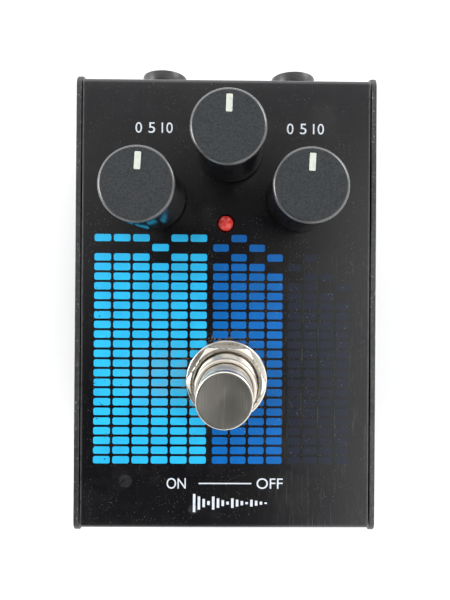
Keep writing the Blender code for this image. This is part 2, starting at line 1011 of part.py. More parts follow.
def footswitch_housing(x, y):
    piece = add_piece(
        "footswitch_housing",
        moulded_block((switch_width, switch_width, switch_height), (0, 0, -switch_height / 2)),
        place(x, y, switch_top_z),
        switch_plastic,
    )
    depth = stem_in_housing + button_travel + seat_gap
    hole = rod(stem_radius + turning_gap, 2 * depth, steps=small_round_steps)
    add_tool(piece, hole, "DIFFERENCE")


def lug_places():
    places = []
    for column in (-1, 0, 1):
        for row in (-1, 0, 1):
            places.append((column * lug_pitch_x, row * lug_pitch_y))
    return places


def footswitch_terminals(x, y):
    # Terminal plate with its nine lugs
    piece = add_piece(
        "footswitch_terminals",
        block(
            (switch_width, switch_width, terminal_plate_height),
            (0, 0, -terminal_plate_height / 2),
        ),
        place(x, y, terminal_top_z),
        board_brown,
    )
    lugs = bmesh.new()
    length = lug_length + join_depth
    middle = -terminal_plate_height + join_depth - length / 2
    for lug_x, lug_y in lug_places():
        add_block(lugs, (lug_width, lug_thickness, length), (lug_x, lug_y, middle))
    add_tool(piece, lugs, "UNION")


def lug_board(x, y):
    # Small board that the footswitch lugs pass through
    size = (2 * lug_board_front, lug_board_front + lug_board_rear, lug_board_thickness)
    piece = add_piece(
        "footswitch_board",
        block(size, (0, (lug_board_rear - lug_board_front) / 2, -lug_board_thickness / 2)),
        place(x, y, lug_board_top_z),
        board_green,
    )
    holes = bmesh.new()
    for lug_x, lug_y in lug_places():
        add_block(
            holes,
            (
                lug_width + 2 * board_hole_gap,
                lug_thickness + 2 * board_hole_gap,
                lug_board_thickness + 2 * cut_overrun,
            ),
            (lug_x, lug_y, -lug_board_thickness / 2),
        )
    add_tool(piece, holes, "DIFFERENCE")


def ribbon_cable():
    # Flat cable from the footswitch board up to the underside of the main board
    low_z = lug_board_top_z + seat_gap + ribbon_thickness / 2
    high_z = board_bottom_z - seat_gap - ribbon_thickness / 2
    points = [(ribbon_start_y, low_z)]
    for step in range(ribbon_steps + 1):
        share = step / ribbon_steps
        rise = (1 - math.cos(math.pi * share)) / 2
        points.append((
            ribbon_start_y + ribbon_flat + ribbon_run * share,
            low_z + (high_z - low_z) * rise,
        ))
    points.append((ribbon_start_y + 2 * ribbon_flat + ribbon_run, high_z))
    strip("ribbon_cable", points, ribbon_width, ribbon_thickness, place(0, 0, 0), cable_grey)


def footswitch():
    x = footswitch_x
    y = footswitch_y
    footswitch_washer(x, y)
    footswitch_dress_nut(x, y)
    footswitch_lock_nut(x, y)
    footswitch_barrel(x, y)
    footswitch_button(x, y)
    footswitch_spring(x, y)
    footswitch_housing(x, y)
    footswitch_terminals(x, y)
    lug_board(x, y)


def main_board():
    # Board that the potentiometers carry, with a hole for each pin and lead
    depth = board_rear_y - board_front_y
    piece = add_piece(
        "main_board",
        block(
            (2 * board_half_width, depth, board_thickness),
            (0, board_front_y + depth / 2, -board_thickness / 2),
        ),
        place(0, 0, board_top_z),
        board_green,
    )
    holes = bmesh.new()
    deep = board_thickness + 2 * cut_overrun
    for x, y in control_places.values():
        for number in (-1, 0, 1):
            add_block(
                holes,
                (pot_pin_width + 2 * board_hole_gap, pot_pin_thickness + 2 * board_hole_gap, deep),
                (x + number * pot_pin_pitch, y + pot_pin_y, -board_thickness / 2),
            )
    hole = lead_width + 2 * board_hole_gap
    for side in (-1, 1):
        centre = (lamp_x + side * lead_offset, lamp_y, -board_thickness / 2)
        add_block(holes, (hole, hole, deep), centre)
    add_tool(piece, holes, "DIFFERENCE")


def chip(name, x, rear_y, legs):
    # Moulded chip under the board, with a row of legs down each long side
    length = legs * chip_leg_pitch
    top = board_bottom_z - seat_gap
    body_z = -chip_stand - chip_height / 2
    piece = add_piece(
        name,
        moulded_block((chip_width, length, chip_height), (0, 0, body_z)),
        place(x, rear_y - length / 2, top),
        chip_black,
    )
    leg_rows = bmesh.new()
    leg_x = (chip_width + chip_leg_reach - join_depth) / 2
    leg_height = chip_stand + chip_height / 2
    for side in (-1, 1):
        for number in range(legs):
            leg_y = (number - (legs - 1) / 2) * chip_leg_pitch
            add_block(
                leg_rows,
                (chip_leg_reach + join_depth, chip_leg_width, leg_height),
                (side * leg_x, leg_y, -leg_height / 2),
            )
    add_tool(piece, leg_rows, "UNION")
    notch = rod(
        chip_notch_radius,
        2 * chip_notch_depth,
        (0, length / 2, -chip_stand - chip_height),
        steps=small_round_steps,
    )
    add_tool(piece, notch, "DIFFERENCE")


def capacitor(name, x, y):
    # Upright can, hanging from the board, with the crimp groove near its foot
    top = board_bottom_z - seat_gap
    groove_top = -can_groove_height
    profile = [
        (0, 0),
        (can_radius, 0),
        (can_radius, groove_top + can_groove_depth),
        (can_radius - can_groove_depth, groove_top),
        (can_radius, groove_top - can_groove_depth),
        (can_radius, -can_height + can_edge_round),
        (can_radius - can_edge_round, -can_height),
        (0, -can_height),
    ]
    turned(name, profile, place(x, y, top), can_blue, steps=small_round_steps)


def trimmer():
    # Small preset under the board: a square body and a slotted rotor in its face
    top = board_bottom_z - seat_gap
    face = top - trimmer_height
    body = add_piece(
        "trimmer_body",
        moulded_block(
            (trimmer_width, trimmer_width, trimmer_height),
            (0, 0, trimmer_height / 2),
        ),
        place(trimmer_x, trimmer_y, face),
        trimmer_blue,
    )
    add_tool(body, rod(trimmer_recess_radius, 2 * trimmer_recess_depth), "DIFFERENCE")
    profile = [
        (0, trimmer_rotor_height),
        (trimmer_rotor_radius, trimmer_rotor_height),
        (trimmer_rotor_radius, 0),
        (0, 0),
    ]
    seat = face + trimmer_recess_depth - seat_gap - trimmer_rotor_height
    rotor = turned(
        "trimmer_rotor",
        profile,
        place(trimmer_x, trimmer_y, seat),
        pointer_white,
        steps=small_round_steps,
    )
    add_tool(
        rotor,
        block((3 * trimmer_rotor_radius, trimmer_slot_width, 2 * trimmer_slot_depth)),
        "DIFFERENCE",
    )


def jack_body(side, x):
    # Moulded body under the board, with the round nose that passes the rear wall
    body_front = inside_rear_y - jack_length
    piece = add_piece(
        f"jack_body_{side}",
        moulded_block(
            (jack_width, jack_length, jack_height),
            (0, body_front + jack_length / 2, 0),
        ),
        place(x, 0, jack_axis_z),
        jack_black,
    )
    nose_end = rear_wall_y + nose_reach
    lip_from = nose_end - nose_lip_length
    groove = nose_radius - nose_groove_depth
    profile = [
        (0, nose_end),
        (nose_radius - nose_lip_round, nose_end),
        (nose_radius, nose_end - nose_lip_round),
        (nose_radius, lip_from),
        (groove, lip_from - nose_groove_depth),
        (groove, lip_from - nose_groove_length),
        (nose_radius, lip_from - nose_groove_length - nose_groove_depth),
        (nose_radius, inside_rear_y - join_depth),
        (0, inside_rear_y - join_depth),
    ]
    nose = revolved(profile)
    nose.transform(to_rear())
    add_tool(piece, nose, "UNION")
    bore_end = body_front + bore_end_wall
    bore = [
        (0, nose_end + cut_overrun),
        (plug_bore_radius + plug_bore_entry, nose_end + cut_overrun),
        (plug_bore_radius + plug_bore_entry, nose_end),
        (plug_bore_radius, nose_end - plug_bore_entry),
        (plug_bore_radius, bore_end),
        (0, bore_end),
    ]
    hole = revolved(bore)
    hole.transform(to_rear())
    add_tool(piece, hole, "DIFFERENCE")
    slot_front = body_front + contact_slot_start
    slot = block(
        (contact_slot_width, contact_slot_length, jack_height / 2 + cut_overrun),
        (
            0,
            slot_front + contact_slot_length / 2,
            -(jack_height / 2 + cut_overrun) / 2,
        ),
    )
    add_tool(piece, slot, "DIFFERENCE")


def jack_contact(side, x):
    # Leaf spring in the slot under the bore, humped where it meets the plug's tip
    body_front = inside_rear_y - jack_length
    start = body_front + contact_slot_start + seat_gap
    length = contact_slot_length - 2 * seat_gap
    low_z = -plug_bore_radius - seat_gap - contact_rise - contact_thickness / 2
    points = []
    for step in range(contact_steps + 1):
        share = step / contact_steps
        rise = contact_rise * (1 - math.cos(2 * math.pi * share)) / 2
        points.append((start + length * share, low_z + rise))
    strip(
        f"jack_contact_{side}",
        points,
        contact_width,
        contact_thickness,
        place(x, 0, jack_axis_z),
        bright_metal,
    )


def jack_fastening(side, x):
    # Flat washer and hexagon nut on the nose, behind the rear wall
    washer_y = rear_wall_y + seat_gap
    nut_y = washer_y + jack_washer_thickness + seat_gap
    bore = nose_radius + seat_gap
    washer = turned(
        f"jack_washer_{side}",
        [
            (bore, jack_washer_thickness),
            (jack_washer_radius, jack_washer_thickness),
            (jack_washer_radius, 0),
            (bore, 0),
        ],
        place(x, washer_y, jack_axis_z),
        bright_metal,
        closed=True,
        steps=small_round_steps,
    )
    washer.rotation_euler = to_rear().to_euler()
    shape = hexagon(jack_nut_across_flats, jack_nut_height, 0)
    shape.transform(to_rear())
    nut = add_piece(f"jack_nut_{side}", shape, place(x, nut_y, jack_axis_z), bright_metal)
    hole = rod(
        bore,
        jack_nut_height + 2 * cut_overrun,
        (0, jack_nut_height / 2, 0),
        to_rear(),
    )
    add_tool(nut, hole, "DIFFERENCE")


def jacks():
    for side, x in jack_places.items():
        jack_body(side, x)
        jack_contact(side, x)
        jack_fastening(side, x)


def power_socket():
    # Low voltage socket in the middle of the rear wall, and its centre pin
    axis_z = jack_top_z - socket_axis_drop
    centre_z = jack_top_z - socket_height / 2 - axis_z
    piece = add_piece(
        "power_socket",
        moulded_block(
            (socket_width, socket_length, socket_height),
            (0, -socket_length / 2, centre_z),
        ),
        place(0, inside_rear_y, axis_z),
        jack_black,
    )
    bore = rod(
        socket_bore_radius,
        2 * socket_bore_length,
        (0, 0, 0),
        to_rear(),
    )
    add_tool(piece, bore, "DIFFERENCE")
    profile = [
        (0, socket_pin_length),
        (socket_pin_radius - socket_pin_round, socket_pin_length),
        (socket_pin_radius, socket_pin_length - socket_pin_round),
        (socket_pin_radius, 0),
        (0, 0),
    ]
    pin = turned(
        "power_socket_pin",
        profile,
        place(0, inside_rear_y - socket_bore_length + seat_gap, axis_z),
        bright_metal,
        steps=small_round_steps,
    )
    pin.rotation_euler = to_rear().to_euler()


case_paint = finish("case_paint", (0.012, 0.012, 0.014), 0.42)
knob_black = finish("knob_black", (0.018, 0.019, 0.020), 0.6)
pointer_white = finish("pointer_white", (0.80, 0.80, 0.76), 0.5)
bright_metal = finish("bright_metal", (0.62, 0.58, 0.50), 0.25, 1.0)
button_metal = finish("button_metal", (0.42, 0.40, 0.36), 0.35, 1.0)
lamp_red = finish("lamp_red", (0.75, 0.05, 0.03), 0.2)
foot_rubber = finish("foot_rubber", (0.02, 0.02, 0.02), 0.8)
screw_metal = finish("screw_metal", (0.05, 0.05, 0.05), 0.35, 1.0)
pot_case = finish("pot_case", (0.35, 0.34, 0.32), 0.4, 1.0)
switch_plastic = finish("switch_plastic", (0.02, 0.05, 0.20), 0.4)
board_brown = finish("board_brown", (0.30, 0.16, 0.06), 0.6)
board_green = finish("board_green", (0.02, 0.14, 0.05), 0.35)
cable_grey = finish("cable_grey", (0.35, 0.35, 0.36), 0.5)
chip_black = finish("chip_black", (0.02, 0.02, 0.02), 0.5)
can_blue = finish("can_blue", (0.02, 0.04, 0.12), 0.35)
trimmer_blue = finish("trimmer_blue", (0.03, 0.15, 0.50), 0.4)
jack_black = finish("jack_black", (0.015, 0.015, 0.016), 0.25)

base_shell()
top_shell()
base_screws()
feet()
controls()
lamp()
footswitch()
main_board()
ribbon_cable()
chip("delay_chip", -chip_row_x, chip_row_rear_y, delay_chip_legs)
chip("compander_chip", chip_row_x, chip_row_rear_y, compander_chip_legs)
chip("amplifier_chip", amplifier_chip_x, chip_row_rear_y, amplifier_chip_legs)
capacitor("capacitor_1", amplifier_chip_x, right_can_y)
capacitor("capacitor_2", trimmer_x, left_can_y)
trimmer()
jacks()
power_socket()
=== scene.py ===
import math

import bmesh
import bpy
from mathutils import Matrix, Vector
from mathutils.geometry import delaunay_2d_cdt


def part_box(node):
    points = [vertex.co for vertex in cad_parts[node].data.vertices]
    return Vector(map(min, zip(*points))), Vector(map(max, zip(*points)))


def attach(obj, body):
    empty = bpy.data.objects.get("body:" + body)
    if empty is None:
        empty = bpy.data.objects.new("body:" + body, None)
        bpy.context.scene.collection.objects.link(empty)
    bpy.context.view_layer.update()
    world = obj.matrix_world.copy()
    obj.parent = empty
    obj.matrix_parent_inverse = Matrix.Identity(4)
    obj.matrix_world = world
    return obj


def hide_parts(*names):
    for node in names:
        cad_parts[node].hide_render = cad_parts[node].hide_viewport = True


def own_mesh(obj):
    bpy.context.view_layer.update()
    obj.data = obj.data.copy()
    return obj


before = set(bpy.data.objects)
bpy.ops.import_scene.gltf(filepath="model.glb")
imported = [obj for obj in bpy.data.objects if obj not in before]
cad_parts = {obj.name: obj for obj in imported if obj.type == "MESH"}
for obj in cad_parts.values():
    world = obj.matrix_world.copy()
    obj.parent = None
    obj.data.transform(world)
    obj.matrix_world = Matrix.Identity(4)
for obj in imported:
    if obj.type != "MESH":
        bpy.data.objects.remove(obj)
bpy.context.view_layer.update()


# The base shell is one sheet of 1 mm steel, cut flat, folded up into the base plate and the two
# side plates and sprayed satin black. The top edges of the side plates show as the thin strips left
# and right of the top plate, with dust, small bright nicks and a lighter band on them that is partly
# rubbed wear and partly painted highlight.

shell_low, shell_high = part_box("base_shell")
case_middle_y = (shell_low.y + shell_high.y) / 2
sheet = 0.001
sheet_edge_round = 0.00012
base_bend_radius = 0.0016
bend_faces = 8
side_corner_radius = 0.0022
screw_hole_radius = 0.0017
round_steps = 48
sharp_angle = math.radians(35)
to_mm = 1000


def add_node(tree, kind, inputs=None, **settings):
    """The outputs of a new node, with each input wired to a socket or given a value."""
    made = tree.nodes.new(kind)
    for setting, value in settings.items():
        setattr(made, setting, value)
    for socket, value in (inputs or {}).items():
        if isinstance(value, bpy.types.NodeSocket):
            tree.links.new(value, made.inputs[socket])
        else:
            made.inputs[socket].default_value = value
    return made.outputs


def new_finish(name, **sockets):
    """A material with the values that are the same all over set on its shader."""
    finish = bpy.data.materials.new(name)
    finish.use_nodes = True
    shader = finish.node_tree.nodes["Principled BSDF"]
    for socket, value in sockets.items():
        shader.inputs[socket.replace("_", " ")].default_value = value
    return finish


def wire(finish, **sockets):
    """Joins patterns to the finish's shader."""
    shader = finish.node_tree.nodes["Principled BSDF"]
    for socket, source in sockets.items():
        finish.node_tree.links.new(source, shader.inputs[socket.replace("_", " ")])


def place_on_piece(finish, stretch=(1, 1, 1), shift=(0, 0, 0)):
    """The place on the piece in millimetres, moved by shift and then stretched."""
    tree = finish.node_tree
    metres = add_node(tree, "ShaderNodeTexCoord")["Object"]
    moved = {"Vector": metres, "Scale": (to_mm, to_mm, to_mm), "Location": shift}
    shifted = add_node(tree, "ShaderNodeMapping", moved)["Vector"]
    return add_node(tree, "ShaderNodeMapping", {"Vector": shifted, "Scale": stretch})["Vector"]


def between(source, low, high, to_low, to_high, **settings):
    """The source's range from low to high, as the range from to_low to to_high."""
    ends = {"Value": source, "From Min": low, "From Max": high, "To Min": to_low, "To Max": to_high}
    return add_node(source.id_data, "ShaderNodeMapRange", ends, **settings)["Result"]


def patches(finish, per_mm, low, high, detail=3, stretch=(1, 1, 1), shift=(0, 0, 0)):
    """Cloudy patches from 0 to 1, about that many to the millimetre."""
    place = place_on_piece(finish, stretch, shift)
    sizes = {"Vector": place, "Scale": per_mm, "Detail": detail, "Roughness": 0.55}
    return between(add_node(finish.node_tree, "ShaderNodeTexNoise", sizes)["Fac"], low, high, 0, 1)


def specks(finish, per_mm, size, shift=(0, 0, 0)):
    """Small round specks, 1 at their middles and 0 between them."""
    sizes = {"Vector": place_on_piece(finish, shift=shift), "Scale": per_mm}
    cells = add_node(finish.node_tree, "ShaderNodeTexVoronoi", sizes)
    return between(cells["Distance"], size, size * 0.5, 0, 1)


def along_axis(finish, axis):
    """The place on the piece along one axis, in millimetres."""
    place = {"Vector": place_on_piece(finish)}
    return add_node(finish.node_tree, "ShaderNodeSeparateXYZ", place)[axis]


def sum_of(operation, *values):
    """One step of arithmetic on patterns, a tree's inputs and plain numbers."""
    tree = next(value.id_data for value in values if isinstance(value, bpy.types.NodeSocket))
    return add_node(tree, "ShaderNodeMath", dict(enumerate(values)), operation=operation)["Value"]


def times(first, second):
    return sum_of("MULTIPLY", first, second)


def mixed(share, first, second):
    """The first colour or pattern, going over to the second where share is 1."""
    ends = {0: share}
    for socket, colour in ((6, first), (7, second)):
        ends[socket] = colour if isinstance(colour, bpy.types.NodeSocket) else (*colour, 1)
    return add_node(share.id_data, "ShaderNodeMix", ends, data_type="RGBA")[2]


def relief(height, strength, distance):
    """Bumps from a pattern."""
    inputs = {"Height": height, "Strength": strength, "Distance": distance}
    return add_node(height.id_data, "ShaderNodeBump", inputs)["Normal"]


def arc_points(x, y, radius, start, end, steps=6):
    """Points of an arc round x, y, from one angle to another in degrees."""
    angles = [math.radians(start + (end - start) * step / steps) for step in range(steps + 1)]
    return [(x + radius * math.cos(angle), y + radius * math.sin(angle)) for angle in angles]


def ring_points(x, y, radius, steps=round_steps):
    return arc_points(x, y, radius, 0, 360, steps)[:-1]


def rounded_outline(length, half_width, radius, steps=8):
    """A rectangle with round corners, anticlockwise, from 0 to its length."""
    far, side = length - radius, half_width - radius
    points = []
    for number, corner in enumerate(((far, side), (radius, side), (radius, -side), (far, -side))):
        points += arc_points(*corner, radius, 90 * number, 90 * number + 90, steps)
    return points


def bent_line(corners, radius):
    """Stations (length so far, point) on a line of straight runs with square, round bends."""
    points = [Vector(corners[0])]
    for before, corner, after in zip(corners, corners[1:], corners[2:]):
        into = (Vector(corner) - Vector(before)).normalized()
        out = (Vector(after) - Vector(corner)).normalized()
        middle = Vector(corner) - into * radius + out * radius
        for step in range(bend_faces + 1):
            angle = math.pi / 2 * step / bend_faces
            points.append(middle - out * radius * math.cos(angle) + into * radius * math.sin(angle))
    points.append(Vector(corners[-1]))
    stations, length = [(0.0, points[0])], 0.0
    for first, second in zip(points, points[1:]):
        length += (second - first).length
        stations.append((length, second))
    return stations


def length_at(stations, point):
    """How far along the line its nearest place to the point is."""
    places = []
    for (start, first), (end, second) in zip(stations, stations[1:]):
        run = second - first
        share = max(0.0, min(1.0, (Vector(point) - first).dot(run) / run.length_squared))
        off = (first + share * run - Vector(point)).length
        places.append((off, start + share * (end - start)))
    return min(places, key=lambda place: place[0])[1]


def point_at(stations, length):
    for (start, first), (end, second) in zip(stations, stations[1:]):
        if length <= end + 1e-9:
            return first.lerp(second, (length - start) / (end - start))
    return stations[-1][1]


def plain_mesh(piece):
    """What the piece's curve or modifiers make, as a plain mesh. The piece itself goes."""
    bpy.context.view_layer.update()
    ready = piece.evaluated_get(bpy.context.evaluated_depsgraph_get())
    mesh = bpy.data.meshes.new_from_object(ready)
    bpy.data.objects.remove(piece)
    return mesh


def add_piece(name, mesh, *finishes):
    piece = bpy.data.objects.new(name, mesh)
    bpy.context.scene.collection.objects.link(piece)
    if finishes:
        mesh.materials.clear()
        for finish in finishes:
            mesh.materials.append(finish)
    return piece


def fit(piece, body, slot, *replaced):
    """Says what a new piece rides on and the solids that it stands for; the slot argument is not used.
    """
    if replaced:
        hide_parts(*replaced)
    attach(piece, body)


def middle_of(name):
    low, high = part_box(name)
    return (low + high) / 2


def spaced(line, step):
    """The closed line with its long runs cut into steps."""
    points = []
    for first, second in zip(line, line[1:] + line[:1]):
        run = second - first
        count = max(1, round(run.length / step))
        points += [first + run * number / count for number in range(count)]
    return points


def inside(line, point):
    """Whether the point lies inside the closed line."""
    odd = False
    for first, second in zip(line, line[1:] + line[:1]):
        if (first.y > point.y) != (second.y > point.y):
            share = (point.y - first.y) / (second.y - first.y)
            odd ^= point.x < first.x + share * (second.x - first.x)
    return odd


def flat_sheet(name, outline, holes, stations):
    """The sheet before it is folded, in even triangles, in millimetres."""
    step, fold_gap, hole_gap = 3.0, 0.5, 1.0
    line, *rings = [[Vector(point) * to_mm for point in ring] for ring in (outline, *holes)]
    middles = [sum(ring, Vector((0, 0))) / len(ring) for ring in rings]
    radii = [(ring[0] - middle).length for ring, middle in zip(rings, middles)]
    folds = [to_mm * length for length, point in stations[1:-1]]

    def off_folds(point):
        return min(abs(fold - point.x) for fold in folds)

    def off_holes(point):
        return min((point - middle).length - radius for middle, radius in zip(middles, radii))

    points, edges = [], []
    rim = [point for point in spaced(line, step) if point in line or off_folds(point) > fold_gap]
    for run in (rim, *rings):
        first = len(points)
        points += run
        edges += [(first + at, first + (at + 1) % len(run)) for at in range(len(run))]
    half = max(point.y for point in line)
    across = [-half + step * (number + 0.5) for number in range(int(2 * half / step))]
    for fold in folds:
        first = len(points)
        points += [Vector((fold, place)) for place in (-half - 1, *across, half + 1)]
        edges += [(at, at + 1) for at in range(first, len(points) - 1)]
    for row in range(1, int(to_mm * stations[-1][0] / step)):
        field = [Vector((row * step, place)) for place in across]
        points += [
            point for point in field if off_folds(point) > 2 * fold_gap and off_holes(point) > hole_gap
        ]
    places, _, faces, *_ = delaunay_2d_cdt(points, edges, [], 0, 0.0005)
    kept = []
    for face in faces:
        middle = sum((places[at] for at in face), Vector((0, 0))) / len(face)
        if inside(line, middle) and off_holes(middle) > -0.001:
            kept.append(face)
    mesh = bpy.data.meshes.new(name)
    mesh.from_pydata([(place.x, place.y, 0) for place in places], [], kept)
    return mesh


def soften(piece, width):
    """Breaks a piece's sharp edges by a small round."""
    edge = piece.modifiers.new("edges", "BEVEL")
    edge.limit_method = "ANGLE"
    edge.angle_limit = sharp_angle
    edge.width = width
    edge.segments = 2
    edge.use_clamp_overlap = False
    edge.loop_slide = False
    edge.harden_normals = True


def folded_sheet(name, outline, holes, stations, to_frame, outward, finish):
    """A sheet cut flat with its holes, folded along the stations and thickened inwards."""
    mesh = flat_sheet(name, outline, holes, stations)
    shape = bmesh.new()
    shape.from_mesh(mesh)
    loose = [vert for vert in shape.verts if not vert.link_faces]
    bmesh.ops.delete(shape, geom=loose, context="VERTS")
    for vert in shape.verts:
        vert.co = to_frame(vert.co.y / to_mm, *point_at(stations, vert.co.x / to_mm))
    shape.normal_update()
    if sum(face.calc_area() * face.normal.dot(outward) for face in shape.faces) < 0:
        bmesh.ops.reverse_faces(shape, faces=shape.faces[:])
    shape.to_mesh(mesh)
    shape.free()
    mesh.shade_smooth()
    piece = add_piece(name, mesh, finish)
    wall = piece.modifiers.new("sheet", "SOLIDIFY")
    wall.thickness = sheet
    wall.offset = -1
    wall.use_even_offset = True
    soften(piece, sheet_edge_round)
    return piece


case_black = new_finish("case_black", IOR=1.5)
cloud = patches(case_black, 0.12, 0.35, 0.7, 5)
dust = times(specks(case_black, 1.3, 0.13), patches(case_black, 0.16, 0.50, 0.68, 6, shift=(40, 9, 3)))
nicks = patches(case_black, 2.6, 0.66, 0.70, 2, shift=(3, 17, 5))
# Lighter band along the side plates' top edges: partly rubbed wear, partly a painted highlight of the
# rounded edge.
top_edge = to_mm * shell_high.z
rubbed_edge_and_highlight = times(
    between(along_axis(case_black, "Z"), top_edge - 0.6, top_edge - 0.1, 0, 0.06),
    patches(case_black, 0.9, 0.25, 0.6, 4, shift=(1, 1, 7)),
)
colour = mixed(cloud, (0.009, 0.009, 0.010), (0.017, 0.016, 0.016))
colour = mixed(times(dust, 0.13), colour, (0.30, 0.29, 0.27))
colour = mixed(times(nicks, 0.7), colour, (0.42, 0.41, 0.40))
wire(
    case_black,
    Base_Color=mixed(rubbed_edge_and_highlight, colour, (0.42, 0.42, 0.42)),
    Roughness=between(patches(case_black, 0.35, 0.3, 0.7, 6), 0, 1, 0.27, 0.40),
    Normal=relief(patches(case_black, 2.4, 0, 1, 2), 0.10, 0.0001),
)

side_corners = [
    (shell_low.x, shell_high.z),
    (shell_low.x, shell_low.z),
    (shell_high.x, shell_low.z),
    (shell_high.x, shell_high.z),
]
sides = bent_line(side_corners, base_bend_radius)
screws = [f"base_screw_{number}" for number in (1, 2, 3, 4)]
screw_holes = []
for middle in map(middle_of, screws):
    station = length_at(sides, (middle.x, shell_low.z))
    screw_holes.append(ring_points(station, middle.y - case_middle_y, screw_hole_radius, 24))
base_sheet = folded_sheet(
    "base_sheet",
    rounded_outline(sides[-1][0], (shell_high.y - shell_low.y) / 2, side_corner_radius),
    screw_holes,
    sides,
    lambda across, x, z: Vector((x, across + case_middle_y, z)),
    Vector((0, 0, -1)),
    case_black,
)
fit(base_sheet, "case", "case_paint", "base_shell")


# Four turned rubber feet are glued under the base plate. Four blackened cross-head steel screws
# go up through the base plate into the lips of the upper shell and hold it.

foot_low, foot_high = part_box("foot_1")
foot_radius = 0.0045
foot_top_radius = 0.0049
foot_rim_height = 0.0003
foot_edge_round = 0.0005
foot_hollow_radius = 0.0018
foot_hollow_depth = 0.0004
screw_head_radius = 0.0027
screw_head_height = 0.0011
screw_head_round = 0.0006
screw_radius = 0.0014
screw_thread_depth = 0.0002
screw_pitch = 0.0006
recess_sizes = (0.0032, 0.0007)
recess_depth = 0.0007


def as_mesh(name, shape, where=(0, 0, 0), turn=None):
    """The shape put in its place, with smooth faces and sharp corners."""
    if turn is not None:
        bmesh.ops.transform(shape, matrix=turn, verts=shape.verts[:])
    bmesh.ops.translate(shape, vec=Vector(where), verts=shape.verts[:])
    shape.normal_update()
    mesh = bpy.data.meshes.new(name)
    shape.to_mesh(mesh)
    shape.free()
    mesh.shade_smooth()
    mesh.set_sharp_from_angle(angle=sharp_angle)
    return mesh


def turned(name, profile, where=(0, 0, 0), steps=round_steps, turn=None, closed=False):
    """A turned solid from its half section, (radius, height) from the top axis outwards."""
    shape = bmesh.new()
    corners = [shape.verts.new((radius, 0, height)) for radius, height in profile]
    edges = [shape.edges.new(pair) for pair in zip(corners, corners[1:])]
    if closed:
        edges.append(shape.edges.new((corners[-1], corners[0])))
    bmesh.ops.spin(
        shape,
        geom=corners + edges,
        axis=(0, 0, 1),
        cent=(0, 0, 0),
        angle=2 * math.pi,
        steps=steps,
        use_merge=True,
    )
    bmesh.ops.remove_doubles(shape, verts=shape.verts[:], dist=0.000002)
    bmesh.ops.recalc_face_normals(shape, faces=shape.faces[:])
    return as_mesh(name, shape, where, turn)


def block_shape(size, middle=(0, 0, 0), shape=None):
    """A block, alone or added to a shape."""
    shape = shape or bmesh.new()
    place = Matrix.Translation(middle) @ Matrix.Diagonal((*size, 1))
    bmesh.ops.create_cube(shape, size=1, matrix=place)
    return shape


def worked(mesh, *steps, sharp=sharp_angle):
    """The mesh with other shapes cut from it or joined to it, in the order given."""
    piece = add_piece(mesh.name, mesh)
    tools = []
    for operation, tool_mesh in steps:
        tool = add_piece(f"tool_{len(tools)}", tool_mesh)
        tools.append(tool)
        change = piece.modifiers.new("work", "BOOLEAN")
        change.operation = operation
        change.object = tool
        change.solver = "EXACT"
    done = plain_mesh(piece)
    for tool in tools:
        bpy.data.objects.remove(tool)
    shape = bmesh.new()
    shape.from_mesh(done)
    bmesh.ops.remove_doubles(shape, verts=shape.verts[:], dist=0.000002)
    shape.to_mesh(done)
    shape.free()
    done.shade_smooth()
    done.set_sharp_from_angle(angle=sharp)
    return done


def threaded_side(radius, depth, pitch, top, bottom, steps=round_steps, rows_a_turn=6):
    """A screw thread's outer side as rows of points that climb round and up, closed below."""
    shape = bmesh.new()
    rows = max(2, round((top - bottom) / pitch * rows_a_turn))
    rings = []
    for row in range(rows + 1):
        height = top + (bottom - top) * row / rows
        fade = max(0.0, min(1.0, (top - height) / pitch, (height - bottom) / pitch + 0.2))
        ring = []
        for step in range(steps):
            angle = 2 * math.pi * step / steps
            turn = ((height - top) / pitch - step / steps) % 1.0
            reach = radius - depth * abs(2 * turn - 1) * fade - depth * 0.35 * (1 - fade)
            ring.append(shape.verts.new((reach * math.cos(angle), reach * math.sin(angle), height)))
        rings.append(ring)
    for upper, lower in zip(rings, rings[1:]):
        for step in range(steps):
            after = (step + 1) % steps
            shape.faces.new((upper[step], lower[step], lower[after], upper[after]))
    shape.faces.new(rings[0])
    shape.faces.new(list(reversed(rings[-1])))
    bmesh.ops.recalc_face_normals(shape, faces=shape.faces[:])
    return shape


def new_tree(name, **inputs):
    """A geometry tree with named inputs, and what it is given."""
    tree = bpy.data.node_groups.new(name, "GeometryNodeTree")
    for label, kind in inputs.items():
        label = label.replace("_", " ")
        tree.interface.new_socket(name=label, in_out="INPUT", socket_type=f"NodeSocket{kind}")
    tree.interface.new_socket(name="Geometry", in_out="OUTPUT", socket_type="NodeSocketGeometry")
    return tree, add_node(tree, "NodeGroupInput")


def set_out(tree, points, shape, middle, finish):
    """The end of a tree: the shape at all points round a middle, made real, in its finish."""
    copies = {"Points": points, "Instance": shape}
    copied = add_node(tree, "GeometryNodeInstanceOnPoints", copies)["Instances"]
    moves = {"Geometry": copied, "Translation": middle}
    moved = add_node(tree, "GeometryNodeTransform", moves)["Geometry"]
    real = add_node(tree, "GeometryNodeRealizeInstances", {"Geometry": moved})["Geometry"]
    inks = {"Geometry": real, "Material": finish}
    add_node(tree, "NodeGroupOutput", {0: add_node(tree, "GeometryNodeSetMaterial", inks)["Geometry"]})


def grown(name, tree, **values):
    """What a geometry tree makes from these values, as a plain mesh."""
    piece = add_piece(name, bpy.data.meshes.new(name))
    change = piece.modifiers.new("tree", "NODES")
    change.node_group = tree
    names = {item.name: item.identifier for item in tree.interface.items_tree}
    for label, value in values.items():
        change[names[label.replace("_", " ")]] = value
    return plain_mesh(piece)


corners_tree, given = new_tree(
    "four_corners", Shape="Object", Width="Float", Length="Float", Middle="Vector", Finish="Material"
)
grid = {"Size X": given["Width"], "Size Y": given["Length"], "Vertices X": 2, "Vertices Y": 2}
set_out(
    corners_tree,
    add_node(corners_tree, "GeometryNodeMeshGrid", grid)["Mesh"],
    add_node(corners_tree, "GeometryNodeObjectInfo", {"Object": given["Shape"]})["Geometry"],
    given["Middle"],
    given["Finish"],
)


